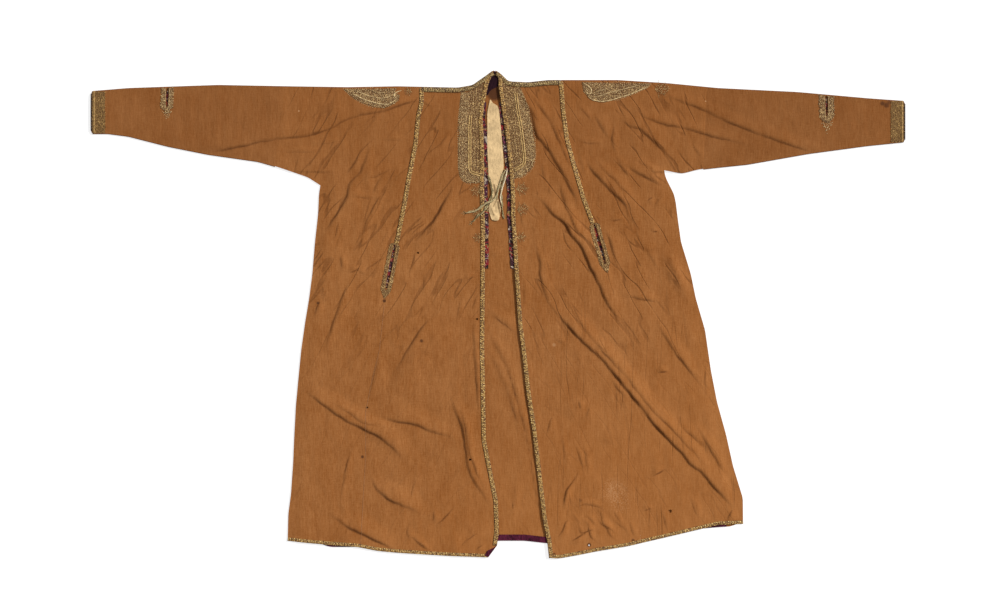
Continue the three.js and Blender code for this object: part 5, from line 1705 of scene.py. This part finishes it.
# ---------------------------------------------------------------- braid and embroidery
class LayBraid(bpy.types.Operator):
    """Lays the gold braid along the front edges, seams, shoulders, hems and cuffs."""

    bl_idname = "abaya.braid"
    bl_label = "Gold braid"

    def execute(self, context):
        trim = settings().trim
        lift = trim.braid_lift / MM
        finish = gilt("gold_braid", *map(tuple, (trim.braid_dark, trim.braid_mid, trim.braid_glint)))
        dull = gilt("shoulder_gold", linear(78, 52, 28), linear(150, 122, 74), linear(208, 182, 124))
        binding = gilt("cuff_binding", linear(34, 24, 18), linear(62, 44, 28), linear(120, 92, 54))
        worked = couching("cuff_ground", linear(98, 68, 36), linear(142, 106, 60), linear(182, 146, 88))
        dots = thread("cuff_thread", linear(104, 76, 42), linear(184, 146, 84), 0.08)
        for half in HALVES:
            edge_foot, hem_start = front_corner(half)
            front = run_down(half.front, 549.0, edge_foot[1]) + (half.side * BRAID_WIDTH / 2, 0.0)
            seam = run_down(half.seam, meet(half.seam, TOP, -4.0)[1], half.pocket.line[0][1] + 3)
            start, end = sorted([x_at(half.seam, 520), half.front[0][0] + half.side * 2.0])
            shoulder = run_over(TOP, start, end, -BRAID_WIDTH / 2 - 1.2)
            start, end = sorted([hem_start, meet(half.edge, HEM)[0]])
            hem = run_over(HEM, start, end, HEM_BRAID_WIDTH / 2)
            middle = half.side * (CUFF_OUTER + CUFF_INNER) / 2
            cuff = np.array([
                (middle, y_at(TOP, middle) - FOLD_RADIUS), (middle, y_at(half.under, middle) + FOLD_RADIUS)
            ])
            for node, made, path, width, rise in (
                ("front_braid", finish, front, BRAID_WIDTH, lift),
                ("seam_braid", finish, seam, BRAID_WIDTH, lift),
                ("shoulder_braid", dull, shoulder, BRAID_WIDTH + 1.0, lift),
                ("hem_braid", finish, hem, HEM_BRAID_WIDTH, lift * 0.8),
            ):
                build(f"{node}_{half.name}", [ribbon(path, width, rise, plait=BRAID_PLAIT)], made, "braid")

            def cuff_strip(near, far):
                """The outline of a strip over the cuff, between two distances from the coat's middle."""
                beside_near = cuff + (half.side * near - middle, 0.0)
                beside_far = cuff + (half.side * far - middle, 0.0)
                return ring(evenly(beside_near, 12.0), evenly(beside_far, 12.0)[::-1])

            ground = frayed(cuff_strip(CUFF_INNER, CUFF_END - 2.5), 1.2, 35)
            ground = below_fold(ground, FOLD_RADIUS - 0.6)
            build(f"cuff_band_{half.name}", [cloth(ground, raised, WORK_CELL)], worked, "braid", 0.8)
            line = cuff + (half.side * (CUFF_END - 7.0) - middle, 0.0)
            inner = cuff_strip(CUFF_INNER - 1.0, CUFF_END - 10.0)
            bright = ribbon(line, 4.6, 1.6, columns=5, plait=0.3)
            scattered = sewn_dots(inner, 3.8, 23, (2.6, 2.0), 1.4)
            build(f"cuff_stitches_{half.name}", [bright, scattered], dots, "braid", added=True)
            trimmed = evenly(cuff, 3.0)[2:-2]
            edge = trimmed + (half.side * (CUFF_END - 1.4) - middle, 0.0)
            bound = ribbon(edge, 3.6, 1.2, columns=5)
            build(f"cuff_binding_{half.name}", [bound], binding, "braid", added=True)
        return {"FINISHED"}


NECK_WORK_TOP = 521.0  # how far up the worked ground of the chest panels goes beside the neck
WORK_CELL = 1.8  # grid cell of a worked ground
WORK_RISE = 0.75  # how far a worked ground stands over the cloth


def raised(x, y):
    """Top of couched work: over the cloth by a little under a millimetre, with the swells of its cords."""
    return skin(x, y) + WORK_RISE + 0.22 * drift(x, y, 3.2, 4.6, 21)


def frayed(outline, amount, seed):
    """An outline with small teeth in and out, as where a worked ground ends in single stitches."""
    line = evenly(closed(outline), 2.2)[:-1]
    middle = line.mean(axis=0)
    out = (line - middle) / np.linalg.norm(line - middle, axis=1, keepdims=True)
    teeth = np.random.default_rng(seed).uniform(-1.0, 1.0, len(line))
    return line + out * (amount * teeth)[:, None]


def sewn_dots(outline, spacing, seed, size, spread, cuts=(), lift=1.5):
    """Stitches of a length and width scattered inside an outline, each turned from Y by up to the spread."""
    x, y = scatter(outline, spacing, seed, cuts)
    draw = np.random.default_rng(seed + 1)
    turns = np.pi / 2 + draw.uniform(-spread, spread, len(x))
    return stitches(x, y, turns, size[0] * draw.uniform(0.7, 1.2, len(x)), size[1], lift)


def stitch_row(path, spacing, seed, size, lift=1.5):
    """Stitches of a length and width, one after another along a path."""
    line = evenly(soften(path, 1.0, 3.0), spacing)
    way = np.gradient(line, axis=0)
    turn = np.arctan2(way[:, 1], way[:, 0])
    draw = np.random.default_rng(seed)
    x, y = (line + draw.uniform(-0.25, 0.25, line.shape)).T
    return stitches(x, y, turn, size[0] * draw.uniform(0.75, 1.15, len(line)), size[1], lift)


def sprig(x, y, turn, size, seed):
    """A sprig: five dotted branches that fan out from one root, the middle one the longest, with loose
    stitches scattered among them."""
    root, way = np.array([x, y]), np.array([np.cos(turn), np.sin(turn)])
    round_it = np.linspace(0.0, 2 * np.pi, 16, endpoint=False)[:, None]
    leaf = way * np.cos(round_it) * 0.46 + way[::-1] * (-1, 1) * np.sin(round_it) * 0.40
    branches = [sewn_dots(root + (leaf + 0.5 * way) * size, 4.4, seed, (2.6, 1.9), 1.5, lift=0.9)]
    for spread, share in ((-0.95, 0.6), (-0.5, 0.85), (0.0, 1.0), (0.5, 0.85), (0.95, 0.6)):
        reach = np.linspace(0.08, share, 6)[:, None] * size
        bend = turn + spread * np.linspace(0.5, 1.15, 6)[:, None]
        path = root + reach * np.hstack([np.cos(bend), np.sin(bend)])
        branches.append(stitch_row(path, 3.6, seed, (2.6, 1.8), 1.0))
    return branches


class CouchEmbroidery(bpy.types.Operator):
    """Lays the couched embroidery: chest panels, shoulder motifs, and the borders of pockets and wrists."""

    bl_idname = "abaya.couching"
    bl_label = "Couched embroidery"

    def execute(self, context):
        ground = couching("couched_ground", linear(90, 58, 31), linear(146, 108, 66), linear(204, 170, 114))
        gold = thread("gold_thread", linear(132, 98, 54), linear(224, 188, 122), 0.1)
        pale = thread("pale_thread", linear(142, 112, 72), linear(238, 210, 156), 0.05)
        faint = thread("faint_thread", linear(138, 98, 54), linear(216, 180, 122), 0.05)
        for half in HALVES:
            right = half is RIGHT
            inner = run_down(half.front, NECK_WORK_TOP, half.plastron[-1][1])
            inner = inner + (half.side * (BRAID_WIDTH + GAP), 0.0)
            outer = soften(half.plastron, 3.0, 12.0)
            rim = below_fold(outer, BRAID_WIDTH + 3.0)
            over = run_over(TOP, inner[0][0], outer[0][0], -BRAID_WIDTH - 3.0)[1:-1]
            chest = ring(rim, inner[::-1], over)
            chest_top = rim[:, 1].max()
            bright = np.array(RIGHT_LINE if right else LEFT_LINE, float)
            turn_in = np.array(RIGHT_TURN if right else LEFT_TURN, float)
            inner_edge = inner[inner[:, 1] <= chest_top]
            foot = bright[-1][1] - 12.0
            shares = (0.2, 0.48, 0.76) if right else (0.16, 0.36, 0.57, 0.78)
            rows = [between(inner_edge, bright, share, chest_top - 4.0, foot) for share in shares]
            whole_line = np.vstack([bright[bright[:, 1] < chest_top], turn_in])
            double = beside(evenly(whole_line, 5.0), -half.side * 4.6)
            wide = [stitch_row(row, 3.9, 40 + k, (2.7, 2.1)) for k, row in enumerate(rows)]
            outside = np.vstack([between(outer_line(half), bright, 0.86, chest_top - 3.0, foot), turn_in])
            band = ring(rim, outside[::-1])
            worked = cloth(frayed(chest, 1.3, 31), raised, WORK_CELL)
            build(f"plastron_{half.name}", [worked], ground, "couching", 1.0)
            build(
                f"plastron_cords_{half.name}",
                [ribbon(whole_line, 2.6, 1.9, columns=5), ribbon(double, 2.0, 1.8, columns=5), *wide],
                gold, "couching", added=True,
            )
            build(
                f"plastron_stitches_{half.name}",
                [
                    sewn_dots(band, 3.7, 51, (2.6, 1.9), 1.4),
                    sewn_dots(chest, 5.0, 55, (2.6, 1.8), 1.2),
                    *fringe_of(chest, half, 61),
                ],
                pale, "couching", added=True,
            )
            boteh = soften(closed(np.array(half.boteh, float)), 2.5, 6.0)[:-1]
            boteh = below_fold(boteh, FOLD_RADIUS + 0.6)
            worked = cloth(frayed(boteh, 1.0, 33), raised, WORK_CELL)
            build(f"boteh_{half.name}", [worked], ground, "couching", 1.0)
            curls = RIGHT_CURLS if right else LEFT_CURLS
            cords = []
            for curl, width in zip(curls, (2.4, 2.2, 1.5, 1.4)):
                cords.append(ribbon(below_fold(curl, 2.0), width, 1.8, columns=5, fade=9.0))
            cords += [sewn_dots(boteh, 3.6, 71, (2.6, 2.0), 1.5), *fringe_of(boteh, half, 63)]
            build(f"boteh_cords_{half.name}", cords, pale, "couching", added=True)
            wrist = around(half.wrist.line, half.wrist.border, 0.0, 16.0)
            wrist = below_fold(wrist, FOLD_RADIUS + 0.6)
            pocket = around(half.pocket.line, half.pocket.border + 4, 5.0, 22.0)
            for name, outline, slit, seed in (
                ("pocket_border", pocket, half.pocket, 81), ("wrist_border", wrist, half.wrist, 91)
            ):
                at_wrist = slit is half.wrist
                worked = below_fold(frayed(outline, 3.0 if at_wrist else 1.4, seed), FOLD_RADIUS + 0.4)
                worked = cloth(worked, raised, WORK_CELL, [lens(slit, 2.0)])
                build(f"{name}_{half.name}", [worked], ground, "couching", 1.0)
                line = evenly(slit.line, 4.0)
                line = line[line[:, 1] < y_at(TOP, line[:, 0]) - 3.0]
                cords = [
                    stitch_row(beside(line, way * (slit.width / 2 + 2.0)), 2.7, seed, (2.8, 2.2), 1.8)
                    for way in (-1, 1)
                ]
                if at_wrist:
                    foot = np.array(slit.line[-1]) - (0.0, 2.2 * slit.border)
                    corner = np.array([slit.border - 3, 1.5 * slit.border])
                    tip = np.array([foot + corner * (-1, 1), foot, foot + corner])
                    cords.append(sewn_dots(tip, 3.4, seed + 2, (2.4, 1.8), 1.5, lift=1.0))
                cords.append(sewn_dots(outline, 3.6, seed, (2.6, 2.0), 1.3, [lens(slit, 8.0)]))
                made = pale if at_wrist else gold
                build(f"{name}_stitches_{half.name}", cords, made, "couching", added=True)
        thread_brown = thread("seam_thread", linear(136, 86, 46), linear(165, 111, 66), 0.0)
        seam = run_down(RIGHT.seam, RIGHT.pocket.line[-1][1] - 34.0, -520.0)
        build("side_seam_thread", [ribbon(seam, 1.3, 0.4, columns=3)], thread_brown, "cotton", added=True)
        dotted = [part for k, row in enumerate(SPRIGS) for part in sprig(*row, 100 + k)]
        build("sprigs", dotted, faint, "couching", added=True)
        return {"FINISHED"}


def outer_line(half):
    """The outer edge of a chest panel as an edge that runs down."""
    line = soften(half.plastron, 3.0, 12.0)
    keep = np.r_[True, np.minimum.accumulate(line[:, 1])[:-1] > line[1:, 1]]
    return line[keep]


def fringe_of(outline, half, seed):
    """Single stitches just outside a worked ground, on its outer side."""
    line = evenly(closed(outline), 4.2)
    middle = line.mean(axis=0)
    outer = line[(line[:, 0] - middle[0]) * half.side > 0]
    away = (outer - middle) / np.linalg.norm(outer - middle, axis=1, keepdims=True)
    moved = outer + away * 2.4
    turns = np.arctan2(away[:, 1], away[:, 0]) + np.random.default_rng(seed).uniform(-0.5, 0.5, len(outer))
    return [stitches(moved[:, 0], moved[:, 1], turns, 3.2 * np.ones(len(outer)), 1.2, 0.7)]


# ---------------------------------------------------------------- panel and running order
class AbayaPanel(bpy.types.Panel):
    """Lists the settings and the steps in the order they are made."""

    bl_idname = "VIEW3D_PT_abaya"
    bl_label = "Abaya"
    bl_space_type = "VIEW_3D"
    bl_region_type = "UI"
    bl_category = "Abaya"

    def draw(self, context):
        groups = settings()
        for group in (groups.cloth, groups.trim, groups.stage):
            box = self.layout.box()
            for key in group.__annotations__:
                box.prop(group, key)
        for step in STEPS:
            self.layout.operator(step.bl_idname)


STEPS = [SetStage, LayTies, SewBody, SewSleeves, SewLinings, LayBraid, CouchEmbroidery]
GROUPS = [AbayaCloth, AbayaTrim, AbayaStage, AbayaSettings]


def register():
    """Adds the settings, the steps and the panel."""
    for made in (*GROUPS, *STEPS, AbayaPanel):
        bpy.utils.register_class(made)
    bpy.types.Scene.abaya = bpy.props.PointerProperty(type=AbayaSettings)


def unregister():
    """Takes them away again, the last one first."""
    del bpy.types.Scene.abaya
    for made in (AbayaPanel, *reversed(STEPS), *reversed(GROUPS)):
        bpy.utils.unregister_class(made)


def main():
    """Runs every step in order."""
    register()
    for step in STEPS:
        group, name = step.bl_idname.split(".")
        getattr(getattr(bpy.ops, group), name)()


if __name__ == "__main__":
    main()
